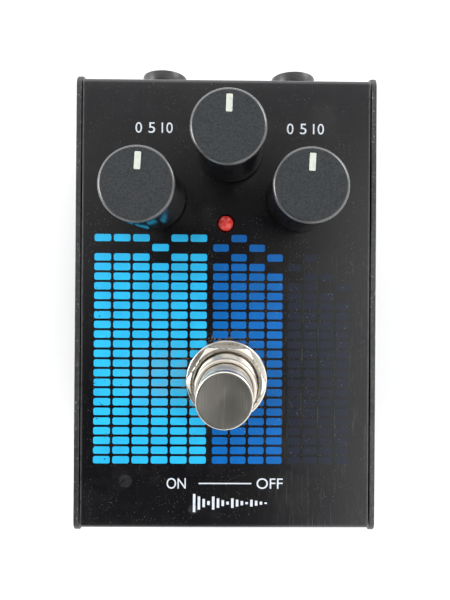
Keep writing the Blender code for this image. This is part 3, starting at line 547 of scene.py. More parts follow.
def four_of(name, mesh, nodes, finish, slot):
    """The mesh at the middles of four nodes, as the one piece that stands for them."""
    master = add_piece(f"{name}_master", mesh)
    middles = [middle_of(node) for node in nodes]
    low = Vector((min(middle.x for middle in middles), min(middle.y for middle in middles), 0))
    high = Vector((max(middle.x for middle in middles), max(middle.y for middle in middles), 0))
    made = grown(
        name,
        corners_tree,
        Shape=master,
        Width=high.x - low.x,
        Length=high.y - low.y,
        Middle=(low + high) / 2,
        Finish=finish,
    )
    bpy.data.objects.remove(master)
    fit(add_piece(name, made, finish), "case", slot, *nodes)


def mottled(name, cloud, colours, rough, skin, **sockets):
    """Two near colours in clouds, rougher where the second shows, over fine bumps."""
    finish = new_finish(name, **sockets)
    share = patches(finish, *cloud)
    *grain, strength, distance = skin
    wire(
        finish,
        Base_Color=mixed(share, *colours),
        Roughness=between(share, 0, 1, *rough),
        Normal=relief(patches(finish, *grain), strength, distance),
    )
    return finish


foot_rubber = mottled(
    "foot_rubber",
    (0.5, 0.45, 0.75, 6),
    ((0.014, 0.014, 0.014), (0.07, 0.067, 0.062)),
    (0.62, 0.85),
    (5, 0, 1, 0.35, 0.0001),
    Specular_IOR_Level=0.35,
)
foot_profile = [(0, foot_high.z), (foot_top_radius, foot_high.z)]
foot_profile += [(foot_top_radius, foot_high.z - foot_rim_height)]
foot_profile += arc_points(foot_radius - foot_edge_round, foot_edge_round, foot_edge_round, 0, -90)
foot_profile += [(foot_hollow_radius, 0.0), (foot_hollow_radius - 0.0002, foot_hollow_depth)]
foot_profile += [(0, foot_hollow_depth)]
feet = [f"foot_{number}" for number in (1, 2, 3, 4)]
four_of("feet", turned("foot", foot_profile), feet, foot_rubber, "foot_rubber")


def metal(name, colour, rough, stretch=(1, 1, 1)):
    """Plated or bare metal: fine working marks, dull patches and small dark stains."""
    finish = new_finish(name, Metallic=1.0)
    stain = times(patches(finish, 0.9, 0.62, 0.75, shift=(7, 3, 1)), 0.5)
    wire(
        finish,
        Base_Color=mixed(stain, colour, [0.55 * part for part in colour]),
        Roughness=between(patches(finish, 0.3, 0.4, 0.75, 6), 0, 1, *rough),
        Normal=relief(patches(finish, 3.0, 0.3, 0.7, 4, stretch), 0.25, 0.00002),
    )
    return finish


screw_black = metal("screw_black", (0.075, 0.073, 0.070), (0.34, 0.5))
screw_low, screw_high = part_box("base_screw_1")
head_top = screw_low.z + screw_head_height
shank = threaded_side(
    screw_radius, screw_thread_depth, screw_pitch, screw_high.z, head_top - screw_thread_depth, 24
)
head_profile = [(0, head_top), (screw_head_radius, head_top)]
head_profile += arc_points(
    screw_head_radius - screw_head_round, screw_low.z + screw_head_round, screw_head_round, 0, -80
)
head_profile += [(0, screw_low.z)]
recess = (*recess_sizes, 2 * recess_depth)
recess_across = (*reversed(recess_sizes), 2 * recess_depth)
screw = worked(
    turned("screw", head_profile),
    ("UNION", as_mesh("shank", shank)),
    ("DIFFERENCE", as_mesh("recess", block_shape(recess, (0, 0, screw_low.z)))),
    ("DIFFERENCE", as_mesh("recess", block_shape(recess_across, (0, 0, screw_low.z)))),
)
four_of("base_screws", screw, screws, screw_black, "screw_metal")


# The main board is green glass-fibre board and hangs on the pins of the three controls. A small
# green board sits on the lugs of the footswitch's brown terminal plate, and a flat grey ribbon
# joins the two.


def dress(finish, slot, *names):
    """Gives CAD nodes that stay as they are their finish."""
    for name in names:
        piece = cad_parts[name]
        if not piece.data.materials:
            piece.data.materials.append(finish)
        for place in piece.material_slots:
            place.material = finish


def moulded(name, colour, second, rough, grain=0.15, per_mm=3.0):
    """Moulded plastic: two near colours in clouds, and a fine grained skin."""
    finish = new_finish(name, IOR=1.48)
    skin = patches(finish, per_mm, 0.2, 0.8)
    wire(
        finish,
        Base_Color=mixed(patches(finish, 0.4, 0.35, 0.7, 5), colour, second),
        Roughness=between(skin, 0, 1, rough - 0.07, rough + 0.1),
        Normal=relief(skin, grain, 0.00005),
    )
    return finish


def threads(finish, per_mm, direction, waver=0.0):
    """Waves side by side, as threads or strands lie."""
    sizes = {"Vector": place_on_piece(finish), "Scale": per_mm, "Distortion": waver}
    return add_node(finish.node_tree, "ShaderNodeTexWave", sizes, bands_direction=direction)["Fac"]


def woven_board(name, colour, second):
    """Board with its glass weave showing faintly through a glossy mask."""
    finish = new_finish(name, Coat_Weight=0.4, Coat_Roughness=0.15)
    weave = times(threads(finish, 1.3, "X", 0.4), threads(finish, 1.3, "Y", 0.4))
    cloud = patches(finish, 0.2, 0.3, 0.7)
    wire(
        finish,
        Base_Color=mixed(times(sum_of("ADD", weave, cloud), 0.5), colour, second),
        Roughness=between(weave, 0, 1, 0.4, 0.5),
        Normal=relief(weave, 0.15, 0.00004),
    )
    return finish


board_green = woven_board("board_green", (0.018, 0.10, 0.045), (0.03, 0.16, 0.07))
board_brown = woven_board("board_brown", (0.22, 0.12, 0.05), (0.32, 0.19, 0.09))
dress(board_green, "board_green", "main_board", "footswitch_board")
dress(board_brown, "board_brown", "footswitch_terminals")

ribbon_grey = new_finish("ribbon_grey", IOR=1.5)
strands = threads(ribbon_grey, 0.31, "X")
wire(
    ribbon_grey,
    Base_Color=mixed(strands, (0.20, 0.21, 0.22), (0.42, 0.43, 0.45)),
    Roughness=between(patches(ribbon_grey, 1, 0.3, 0.7), 0, 1, 0.38, 0.52),
    Normal=relief(strands, 0.6, 0.0002),
)
dress(ribbon_grey, "cable_grey", "ribbon_cable")


# Two long chips and a short one, moulded black with tinned legs, stand under the main board
# beside two sleeved electrolytic cans and a small blue preset with a turning rotor.

chip_black = moulded("chip_black", (0.016, 0.016, 0.017), (0.028, 0.028, 0.028), 0.5, 0.3, 6)
dress(chip_black, "chip_black", "delay_chip", "compander_chip", "amplifier_chip")
can_blue = moulded("can_blue", (0.02, 0.05, 0.16), (0.03, 0.07, 0.20), 0.28, 0.05)
dress(can_blue, "can_blue", "capacitor_1", "capacitor_2")
trimmer_blue = moulded("trimmer_blue", (0.03, 0.12, 0.42), (0.04, 0.15, 0.48), 0.4)
dress(trimmer_blue, "trimmer_blue", "trimmer_body")
rotor_white = moulded("rotor_white", (0.72, 0.70, 0.64), (0.62, 0.60, 0.54), 0.45)
dress(rotor_white, "pointer_white", "trimmer_rotor")


# Two moulded jacks stand behind the rear wall, each held by a nut on the thread of its round
# nose, which shows behind the case. A leaf spring inside meets the plug's tip. The power socket
# between them is a moulded block with a bore round a plated pin.

wall_set_in = 0.0008
jack_gap = 0.0003
jack_edge_round = 0.0004
nose_radius = 0.0050
nose_lip_length = 0.0021
nose_front_round = 0.0003
nose_rear_round = 0.0002
nose_neck = 0.0004
nose_thread_depth = 0.00025
nose_thread_pitch = 0.0009
bore_radius = 0.0033
bore_mouth = 0.0015
bore_floor = 0.0012
contact_slot = (0.0034, 0.0130)
contact_slot_start = 0.0020
overrun = 0.001

jack_black = moulded("jack_black", (0.030, 0.030, 0.031), (0.045, 0.045, 0.046), 0.34, 0.06, 1.5)
plated = metal("plated", (0.66, 0.63, 0.58), (0.16, 0.32))
spring_bronze = metal("spring_bronze", (0.62, 0.50, 0.34), (0.22, 0.38), (1, 6, 1))
to_rear = Matrix.Rotation(math.radians(-90), 4, "X")


def rounded_block(size, middle, radius, rounds, upright=False):
    """A block with all its edges round, or only the four upright ones."""
    shape = block_shape(size, middle)
    edges = shape.edges[:]
    if upright:
        edges = [edge for edge in edges if edge.verts[0].co.xy == edge.verts[1].co.xy]
    bmesh.ops.bevel(shape, geom=edges, offset=radius, segments=rounds, profile=0.5, affect="EDGES")
    return shape


for side in ("left", "right"):
    jack_low, jack_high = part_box(f"jack_body_{side}")
    jack_middle = (jack_low + jack_high) / 2
    wall_face_y = shell_high.y - wall_set_in - sheet - jack_gap
    body_length = wall_face_y - jack_low.y
    axis = Vector((jack_middle.x, 0, jack_middle.z))
    lip = jack_high.y - nose_lip_length
    neck = nose_radius - nose_rear_round
    nose_profile = [(0, jack_high.y)]
    nose_profile += arc_points(
        nose_radius - nose_front_round, jack_high.y - nose_front_round, nose_front_round, 90, 0
    )
    nose_profile += arc_points(neck, lip + nose_rear_round, nose_rear_round, 0, -90, 3)
    nose_profile += [(nose_radius - nose_neck, lip - 0.0001), (nose_radius - nose_neck, lip - nose_neck)]
    nose_profile += [(neck, lip - 0.0006), (neck, wall_face_y - overrun), (0, wall_face_y - overrun)]
    thread = threaded_side(
        nose_radius, nose_thread_depth, nose_thread_pitch, lip - 0.0008, wall_face_y - 0.0005, 64
    )
    bore_profile = [(0, jack_high.y + overrun), (bore_radius + bore_mouth, jack_high.y + overrun)]
    bore_profile += [(bore_radius, jack_high.y - 0.0005), (bore_radius, jack_low.y + bore_floor)]
    bore_profile += [(0, jack_low.y + bore_floor)]
    body = rounded_block(
        (jack_high.x - jack_low.x, body_length, jack_high.z - jack_low.z),
        (jack_middle.x, jack_low.y + body_length / 2, jack_middle.z),
        jack_edge_round,
        2,
    )
    slot_y = jack_low.y + contact_slot_start + contact_slot[1] / 2
    slot = block_shape(
        (*contact_slot, jack_middle.z - jack_low.z + overrun),
        (jack_middle.x, slot_y, (jack_middle.z + jack_low.z - overrun) / 2),
    )
    jack = worked(
        as_mesh(f"jack_{side}", body),
        ("UNION", turned("nose", nose_profile, axis, 64, to_rear)),
        ("UNION", as_mesh("thread", thread, axis, to_rear)),
        ("DIFFERENCE", turned("bore", bore_profile, axis, 64, to_rear)),
        ("DIFFERENCE", as_mesh("slot", slot)),
    )
    fit(add_piece(f"jack_{side}", jack, jack_black), "case", "jack_black", f"jack_body_{side}")
    dress(plated, "bright_metal", f"jack_nut_{side}", f"jack_washer_{side}")
    dress(spring_bronze, "bright_metal", f"jack_contact_{side}")
dress(jack_black, "jack_black", "power_socket")
dress(plated, "bright_metal", "power_socket_pin")


# Three controls hang under the plate: a tinned housing with its pins in the board, a plated
# bushing through the plate with a nut on it, and a turned and split shaft inside.

control_case = metal("control_case", (0.37, 0.36, 0.335), (0.34, 0.5))
for side in ("left", "centre", "right"):
    dress(control_case, "pot_case", f"pot_housing_{side}")
    dress(plated, "bright_metal", f"pot_bushing_{side}", f"pot_nut_{side}", f"pot_shaft_{side}")


# The footswitch's lower half is a moulded blue housing with nine tinned lugs below and a return
# spring above. It carries the barrel, which a lock nut sets to height under the plate.

switch_blue = moulded("switch_blue", (0.018, 0.05, 0.20), (0.028, 0.07, 0.26), 0.38)
dress(switch_blue, "switch_plastic", "footswitch_housing")
dress(plated, "bright_metal", "footswitch_lock_nut")

spring_wire = 0.0003
spring_turns, spring_steps = 6, 24
spring_low, spring_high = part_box("footswitch_spring")
coil_radius = (spring_high.x - spring_low.x) / 2 - spring_wire
closed_rise = 2.15 * spring_wire
free_rise = spring_high.z - spring_low.z - 2 * spring_wire - 2 * closed_rise
coil = bpy.data.curves.new("return_spring", "CURVE")
coil.dimensions = "3D"
coil.bevel_depth = spring_wire
coil.bevel_resolution = 3
coil.use_fill_caps = True
run = coil.splines.new("POLY")
run.points.add(spring_turns * spring_steps)
for step in range(spring_turns * spring_steps + 1):
    turn = step / spring_steps
    free_share = min(max(turn - 1, 0) / (spring_turns - 2), 1)
    closed_turns = min(turn, 1) + max(turn - spring_turns + 1, 0)
    run.points[step].co = (
        (spring_low.x + spring_high.x) / 2 + coil_radius * math.cos(2 * math.pi * turn),
        (spring_low.y + spring_high.y) / 2 + coil_radius * math.sin(2 * math.pi * turn),
        spring_low.z + spring_wire + closed_rise * closed_turns + free_rise * free_share,
        1,
    )
spring_mesh = plain_mesh(add_piece("coil", coil))
spring_mesh.shade_smooth()
return_spring = add_piece("return_spring", spring_mesh, plated)
fit(return_spring, "case", "bright_metal", "footswitch_spring")
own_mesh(return_spring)


# The top plate with the front and rear walls and their lips is the second folded sheet. It is
# sprayed the same black, rubbed by hands and shoes: fine scratches to the right, smudges at the
# front, and dust between the controls.

top_low, top_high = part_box("top_shell")
top_bend_radius = 0.0012
top_corner_radius = 0.0003
lip_length = 0.009
bushing_hole_radius = 0.0038
barrel_hole_radius = 0.0062
lamp_hole_radius = 0.0018
nose_hole_radius = 0.0053
socket_window_radius = 0.0045
plate_half_width = (top_high.x - top_low.x) / 2
plate_z = top_high.z

wall_corners = [
    (top_low.y + lip_length, top_low.z),
    (top_low.y, top_low.z),
    (top_low.y, top_high.z),
    (top_high.y, top_high.z),
    (top_high.y, top_low.z),
    (top_high.y - lip_length, top_low.z),
]
walls = bent_line(wall_corners, top_bend_radius)
switch_axis = middle_of("footswitch_washer")
lamp_axis = middle_of("lamp_lens")
socket_axis = middle_of("power_socket_pin")


def hole(x, y, z, radius, steps=round_steps):
    """A round hole at that place of the folded sheet, as it is cut in the flat sheet."""
    return ring_points(length_at(walls, (y, z)), x, radius, steps)


plate_holes = [
    hole(middle.x, middle.y, top_low.z, screw_hole_radius, 24) for middle in map(middle_of, screws)
]
for side in ("left", "centre", "right"):
    middle = middle_of(f"knob_{side}")
    plate_holes.append(hole(middle.x, middle.y, plate_z, bushing_hole_radius))
plate_holes.append(hole(switch_axis.x, switch_axis.y, plate_z, barrel_hole_radius, 64))
plate_holes.append(hole(lamp_axis.x, lamp_axis.y, plate_z, lamp_hole_radius, 32))
for side in ("left", "right"):
    middle = middle_of(f"jack_nut_{side}")
    plate_holes.append(hole(middle.x, top_high.y, middle.z, nose_hole_radius))
plate_holes.append(hole(socket_axis.x, top_high.y, socket_axis.z, socket_window_radius))


def away_from(finish, x, y, stretch=(1, 1, 0)):
    """How far each place is from the upright line at x and y, in millimetres."""
    off = place_on_piece(finish, stretch, (-to_mm * x, -to_mm * y, 0))
    return add_node(finish.node_tree, "ShaderNodeVectorMath", {0: off}, operation="LENGTH")["Value"]


plate_black = new_finish("plate_black", IOR=1.5)
plate_x = along_axis(plate_black, "X")
cloud = patches(plate_black, 0.08, 0.35, 0.7, 6)
rubbed_side = times(
    between(plate_x, 2, 20, 0.15, 1), between(along_axis(plate_black, "Y"), 14, -8, 0.1, 1)
)
hairlines = times(patches(plate_black, 2.2, 0.60, 0.70, 2, (2.2, 0.06, 1)), rubbed_side)
rubbed = patches(plate_black, 0.16, 0.50, 0.72, 6, shift=(11, 25, 0))
dust = times(
    specks(plate_black, 2.3, 0.14, (2, 2, 0)), patches(plate_black, 0.22, 0.40, 0.62, 5, shift=(5, 1, 8))
)
smudges = sum_of(
    "MAXIMUM",
    between(away_from(plate_black, -0.0197, -0.0382), 1.5, 1.125, 0, 1),
    between(away_from(plate_black, -0.0062, -0.0438), 1.1, 0.825, 0, 1),
)
smudges = times(smudges, patches(plate_black, 1.1, 0.2, 0.6, shift=(6, 6, 0)))
plate_edge = to_mm * plate_half_width
# Lighter line along the plate's left and right edges: partly rubbed wear, partly a painted highlight of
# the edge round.
edge_wear_and_highlight = times(
    between(sum_of("ABSOLUTE", plate_x), plate_edge - 0.45, plate_edge - 0.15, 0, 0.12),
    patches(plate_black, 0.8, 0.2, 0.5, 4, shift=(8, 0, 2)),
)
dirt = times(
    between(away_from(plate_black, switch_axis.x, switch_axis.y), 8.2, 10.5, 0.6, 0),
    patches(plate_black, 2.4, 0.50, 0.62, 5, shift=(4, 4, 0)),
)
colour = mixed(cloud, (0.0022, 0.0023, 0.0036), (0.0050, 0.0046, 0.0050))
for share, over in (
    (times(hairlines, 0.09), (0.30, 0.30, 0.31)),
    (times(rubbed, 0.012), (0.35, 0.34, 0.32)),
    (times(dust, 0.55), (0.46, 0.44, 0.41)),
    (times(smudges, 0.05), (0.34, 0.36, 0.40)),
    (edge_wear_and_highlight, (0.42, 0.42, 0.43)),
    (times(dirt, between(plate_x, -3, 7, 1, 0.25)), (0.24, 0.20, 0.15)),
):
    colour = mixed(share, colour, over)
wire(
    plate_black,
    Base_Color=colour,
    Roughness=sum_of("ADD", between(rubbed, 0, 1, 0.21, 0.29), times(hairlines, 0.12)),
    Normal=relief(patches(plate_black, 2.4, 0, 1, 2), 0.07, 0.0001),
)
top_sheet = folded_sheet(
    "top_sheet",
    rounded_outline(walls[-1][0], plate_half_width, top_corner_radius, 3),
    plate_holes,
    walls,
    lambda across, y, z: Vector((across, y, z)),
    Vector((0, 0, 1)),
    plate_black,
)
fit(top_sheet, "case", "case_paint", "top_shell")


# Three inks are screened on the plate as the columns of a level meter: light blue at the left,
# deeper blue in the middle and near-black navy at the right. The ink lies on the paint as a
# thin raised film, chipped at the left edge and worn dull beside the footswitch.

ink_film = 0.00002
segment_height = 0.00145
segment_corner_radius = 0.00035
column_gap = 0.0005
row_pitch = 0.00192
rows = 25
front_row_y = case_middle_y - 0.0321
ink_clearing_radius = 0.0072
worn_middle = (-0.0115, case_middle_y - 0.0144)

# Each column of the meter is lit to its own level, with one peak segment above it.
meter, given = new_tree(
    "level_meter",
    Columns="Int",
    Rows="Int",
    Column_Pitch="Float",
    Row_Pitch="Float",
    Segment_Width="Float",
    Segment_Height="Float",
    Corner_Radius="Float",
    Film="Float",
    First_Level="Float",
    Fall="Float",
    Ripple="Float",
    Phase="Float",
    Corner="Vector",
    Ink="Material",
)
half_wide = times(times(sum_of("SUBTRACT", given["Columns"], 1), given["Column Pitch"]), 0.5)
half_long = times(times(sum_of("SUBTRACT", given["Rows"], 1), given["Row Pitch"]), 0.5)
field = {
    "Size X": times(half_wide, 2),
    "Size Y": times(half_long, 2),
    "Vertices X": given["Columns"],
    "Vertices Y": given["Rows"],
}
position = {"Vector": add_node(meter, "GeometryNodeInputPosition")["Position"]}
place = add_node(meter, "ShaderNodeSeparateXYZ", position)
column = sum_of("DIVIDE", sum_of("ADD", place["X"], half_wide), given["Column Pitch"])
row = sum_of("DIVIDE", sum_of("ADD", place["Y"], half_long), given["Row Pitch"])
swing = sum_of("SINE", sum_of("ADD", times(column, 2.4), given["Phase"]))
drop = sum_of(
    "ADD", times(column, given["Fall"]), times(sum_of("ADD", swing, 1), given["Ripple"])
)
level = sum_of("ROUND", sum_of("SUBTRACT", given["First Level"], drop))
above = sum_of("GREATER_THAN", row, sum_of("SUBTRACT", level, 2.5))
off_peak = sum_of("ABSOLUTE", sum_of("SUBTRACT", row, sum_of("SUBTRACT", level, 1)))
unlit = sum_of("SUBTRACT", above, sum_of("LESS_THAN", off_peak, 0.5))
dark = {
    "Geometry": add_node(meter, "GeometryNodeMeshGrid", field)["Mesh"],
    "Selection": sum_of("GREATER_THAN", unlit, 0.5),
}
outline = {"Width": given["Segment Width"], "Height": given["Segment Height"]}
corners = {
    "Curve": add_node(meter, "GeometryNodeCurvePrimitiveQuadrilateral", outline)["Curve"],
    "Radius": given["Corner Radius"],
    "Count": 2,
}
thickness = {"End": add_node(meter, "ShaderNodeCombineXYZ", {"Z": given["Film"]})["Vector"]}
segment = {
    "Curve": add_node(meter, "GeometryNodeCurvePrimitiveLine", thickness)["Curve"],
    "Profile Curve": add_node(meter, "GeometryNodeFilletCurve", corners, mode="POLY")["Curve"],
    "Fill Caps": True,
}
half_size = add_node(meter, "ShaderNodeCombineXYZ", {"X": half_wide, "Y": half_long})["Vector"]
set_out(
    meter,
    add_node(meter, "GeometryNodeDeleteGeometry", dark, domain="POINT")["Geometry"],
    add_node(meter, "GeometryNodeCurveToMesh", segment)["Mesh"],
    add_node(meter, "ShaderNodeVectorMath", {0: given["Corner"], 1: half_size})["Vector"],
    given["Ink"],
)


def screen_ink(name, colour, worn, chips):
    """Screen ink over black: uneven film, dust, chips near the left edge, a worn patch."""
    ink = new_finish(name, IOR=1.5)
    left_edge = between(along_axis(ink, "X"), -19.0, -26.5, 0, 1)
    flaws = patches(ink, 0.7, 0.2, 0.8, 5, shift=(13, 5, 0))
    chipped = sum_of("GREATER_THAN", sum_of("ADD", flaws, times(left_edge, chips)), 0.86)
    near_worn = between(away_from(ink, *worn_middle, (0.09, 0.13, 0)), 1.0, 0.3, 0, 0.75)
    dull = times(near_worn, patches(ink, 0.35, 0.3, 0.6, 5))
    dust = times(specks(ink, 1.7, 0.13, (9, 4, 0)), patches(ink, 0.2, 0.45, 0.62, shift=(1, 21, 0)))
    thin = patches(ink, 0.22, 0.3, 0.75, 5, shift=(4, 4, 4))
    film = mixed(thin, colour, [0.80 * part for part in colour])
    film = mixed(dull, film, worn)
    film = mixed(times(dust, 0.5), film, (0.55, 0.60, 0.62))
    wire(
        ink,
        Base_Color=mixed(times(chipped, 0.92), film, (0.010, 0.012, 0.016)),
        Roughness=between(dull, 0, 1, 0.26, 0.42),
        Normal=relief(patches(ink, 3.5, 0.1, 0.9), 0.12, 0.00006),
    )
    return ink


light_blue = screen_ink("print_light_blue", (0.024, 0.468, 0.815), (0.09, 0.34, 0.51), 0.14)
blue = screen_ink("print_blue", (0.0004, 0.120, 0.424), (0.015, 0.12, 0.30), 0)
navy = screen_ink("print_navy", (0.006, 0.009, 0.020), (0.014, 0.016, 0.024), 0)
clearing = [(0, plate_z + overrun), (ink_clearing_radius, plate_z + overrun)]
clearing += [(ink_clearing_radius, plate_z - overrun), (0, plate_z - overrun)]
for ink, left, right, columns, level, fall, ripple, phase in (
    (light_blue, -0.0264, -0.0035, 6, 24.75, 0.15, 0.6, 0.0),
    (blue, -0.0028, 0.0116, 4, 24.5, 0.4, 0.7, 1.2),
    (navy, 0.0121, 0.0249, 4, 22.5, 0.9, 0.6, 2.4),
):
    pitch = (right - left) / columns
    made = grown(
        ink.name,
        meter,
        Columns=columns,
        Rows=rows,
        Column_Pitch=pitch,
        Row_Pitch=row_pitch,
        Segment_Width=pitch - column_gap,
        Segment_Height=segment_height,
        Corner_Radius=segment_corner_radius,
        Film=ink_film,
        First_Level=level,
        Fall=fall,
        Ripple=ripple,
        Phase=phase,
        Corner=(left + pitch / 2, front_row_y + row_pitch / 2, plate_z),
        Ink=ink,
    )
    cutter = turned("clearing", clearing, (switch_axis.x, switch_axis.y, 0), 64)
    fit(add_piece(ink.name, worked(made, ("DIFFERENCE", cutter)), ink), "case", "case_paint")


# Plain figures of a scale stand behind the two outer controls, the words ON and OFF with a thin
# line between them stand in front of the footswitch, and under them a row of bars that dies
# away. All of it is the same white screen ink.

ink_white = mottled(
    "ink_white",
    (1.6, 0.55, 0.78, 5),
    ((0.62, 0.66, 0.72), (0.38, 0.40, 0.44)),
    (0.40, 0.55),
    (5, 0, 1, 0.12, 0.00005),
    IOR=1.5,
)
label_height = 0.0021
figures_y = case_middle_y + 0.0350
words_y = case_middle_y - 0.0358
bars_y = case_middle_y - 0.0397
bar_width, bar_pitch, first_bar_x = 0.0005, 0.00095, -0.0060


def lettering(words, left, right, middle_y):
    """Words drawn flat at the label height, spread from left to right."""
    writing = bpy.data.curves.new(words, "FONT")
    writing.body = words
    writing.extrude = 0.01
    shape = bmesh.new()
    shape.from_mesh(plain_mesh(add_piece(words, writing)))
    bmesh.ops.remove_doubles(shape, verts=shape.verts[:], dist=0.0002)
    xs = [vert.co.x for vert in shape.verts]
    ys = [vert.co.y for vert in shape.verts]
    for vert in shape.verts:
        share_x = (vert.co.x - min(xs)) / (max(xs) - min(xs))
        share_y = (vert.co.y - min(ys)) / (max(ys) - min(ys)) - 0.5
        top = ink_film if vert.co.z > 0 else 0
        vert.co = (left + share_x * (right - left), middle_y + share_y * label_height, plate_z + top)
    return shape


def bars(*places):
    """Flat bars from (x, y, width, length)."""
    shape = bmesh.new()
    for x, y, width, length in places:
        block_shape((width, length, ink_film), (x, y, plate_z + ink_film / 2), shape)
    return shape


def white_print(name, *shapes):
    whole = bmesh.new()
    for shape in shapes:
        whole.from_mesh(as_mesh(name, shape))
    fit(add_piece(name, as_mesh(name, whole), ink_white), "case", "pointer_white")


figures = []
for start in (-0.0182, 0.0120):
    for words, left, right in (("0", 0, 0.0013), ("5", 0.0026, 0.0039), ("10", 0.0052, 0.0074)):
        figures.append(lettering(words, start + left, start + right, figures_y))
white_print("scale_figures", *figures)
white_print(
    "on_off",
    lettering("ON", -0.0115, -0.0077, words_y),
    bars((0.0001, words_y, 0.0105, 0.00025)),
    lettering("OFF", 0.0064, 0.0116, words_y),
)
fading = []
for number in range(16):
    burst, place = divmod(number, 4)
    length = 0.0036 * (0.72 ** burst) * (1.0, 0.72, 0.45, 0.22)[place]
    fading.append((first_bar_x + number * bar_pitch, bars_y, bar_width, length))
white_print("fading_bars", bars(*fading))


# A 3 mm red indicator lamp: clear red moulded resin with a round dome, and inside it the small
# bright cup on one lead that the light comes from.

lamp_radius = 0.0015
lamp_flange_radius = 0.0019
lamp_flange_height = 0.0010
cup_radius = 0.0009
cup_well_radius = 0.0004
cup_well_depth = 0.0004
cup_stem_radius = 0.0003
lamp_low, lamp_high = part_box("lamp_lens")
lamp_red = mottled(
    "lamp_red",
    (0.9, 0.3, 0.7),
    ((0.70, 0.047, 0.036), (0.86, 0.066, 0.050)),
    (0.10, 0.20),
    (2.5, 0.2, 0.8, 0.08, 0.00005),
    Transmission_Weight=0.1,
    IOR=1.5,
    Subsurface_Weight=0.25,
    Subsurface_Scale=0.0006,
)
lamp_place = (lamp_axis.x, lamp_axis.y, 0)
flange_z = lamp_low.z + lamp_flange_height
lamp_profile = [(0, lamp_high.z)]
lamp_profile += arc_points(0, lamp_high.z - lamp_radius, lamp_radius, 90, 0, 12)[1:]
lamp_profile += [(lamp_radius, flange_z), (lamp_flange_radius, flange_z)]
lamp_profile += [(lamp_flange_radius, lamp_low.z), (0, lamp_low.z)]
lens = add_piece("lamp", turned("lamp", lamp_profile, lamp_place), lamp_red)
fit(lens, "case", "lamp_red", "lamp_lens")
cup_top = lamp_high.z - 0.0014
cup_foot = lamp_low.z + 0.0004
cup_profile = [(0, cup_top - cup_well_depth), (cup_well_radius, cup_top - cup_well_depth)]
cup_profile += [(cup_radius - 0.0002, cup_top), (cup_radius, cup_top), (cup_radius, cup_top - 0.0009)]
cup_profile += [(cup_stem_radius, cup_top - 0.0012), (cup_stem_radius, cup_foot), (0, cup_foot)]
cup = add_piece("lamp_cup", turned("lamp_cup", cup_profile, lamp_place, 24), plated)
fit(cup, "case", "bright_metal")
dress(plated, "bright_metal", "lamp_lead_1", "lamp_lead_2")


# Above the plate the footswitch shows a flat turned washer, a hexagon nut with its corners
# turned off, the end of the threaded barrel with its keyway at the left, and the round button.
# All are nickel plated; the button's top is brushed and worn by shoes, and its tone is painted far
# darker than its sides as painted shade of the dark overhead that it reflects.

switch_low, switch_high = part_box("footswitch_washer")
nut_low, nut_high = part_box("footswitch_dress_nut")
barrel_low, barrel_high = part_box("footswitch_barrel")
button_low, button_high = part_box("footswitch_button")
switch_place = (switch_axis.x, switch_axis.y, 0)
washer_bore = 0.0062
washer_radius = 0.0080
washer_round = 0.00025
nut_across_flats = 0.0138
nut_corner_radius = 0.0078
nut_face_radius = 0.0069
nut_chamfer = 0.00045
nut_edge_round = 0.00016
nut_mouth = 0.00115
nut_turn = math.radians(-1.3)
barrel_radius = 0.0059
barrel_thread_depth = 0.00055
barrel_thread_pitch = 0.00125
barrel_bore_radius = 0.00508
barrel_neck = 0.00045
barrel_rim = barrel_high.z - 0.0004
flange_thickness = 0.001
keyway_width = 0.0014
keyway_depth = 0.0003
button_radius = 0.00495
button_round = 0.0004
button_length = 0.0122
button_grooves = (0.0016, 0.0022, 0.0062)
groove_half_width = 0.00012
stem_radius = 0.0015


def turned_metal(name, colour, rough, rings=0.35, shaded_grooves=None):
    """Plated metal turned on a lathe: rings, dull patches, small stains, and painted shade in its thread
    roots.
    """
    finish = new_finish(name, Metallic=1.0)
    out = away_from(finish, switch_axis.x, switch_axis.y)
    up = along_axis(finish, "Z")
    cuts = {"W": sum_of("ADD", out, up), "Scale": 5, "Detail": 4}
    ring = add_node(finish.node_tree, "ShaderNodeTexNoise", cuts, noise_dimensions="1D")["Fac"]
    stain = times(patches(finish, 0.8, 0.60, 0.76, 5, shift=(3, 9, 2)), 0.45)
    tone = mixed(stain, colour, [0.5 * part for part in colour])
    # Painted shade: the thread roots below the rim are darkened towards a dark brown-grey.
    if shaded_grooves:
        deep, crest, top = [to_mm * size for size in shaded_grooves]
        groove_shade = times(between(out, crest, deep, 0, 0.85), between(up, top, top - 0.1, 0, 1))
        tone = mixed(groove_shade, tone, (0.10, 0.088, 0.070))
    wire(
        finish,
        Base_Color=tone,
        Roughness=between(patches(finish, 0.35, 0.42, 0.75, 6), 0, 1, *rough),
        Normal=relief(ring, rings, 0.00002),
    )
    return finish


nickel = turned_metal("nickel", (0.70, 0.655, 0.575), (0.26, 0.40))
washer_profile = [(washer_bore, switch_high.z - 0.0001), (washer_bore + 0.0001, switch_high.z)]
washer_profile += arc_points(
    washer_radius - washer_round, switch_high.z - washer_round, washer_round, 90, 0, 4
)
washer_profile += arc_points(washer_radius - 0.0001, switch_low.z + 0.0001, 0.0001, 0, -90, 2)
washer_profile += [(washer_bore, switch_low.z)]
washer_mesh = turned("washer", washer_profile, switch_place, 96, closed=True)
fit(add_piece("washer", washer_mesh, nickel), "case", "bright_metal", "footswitch_washer")

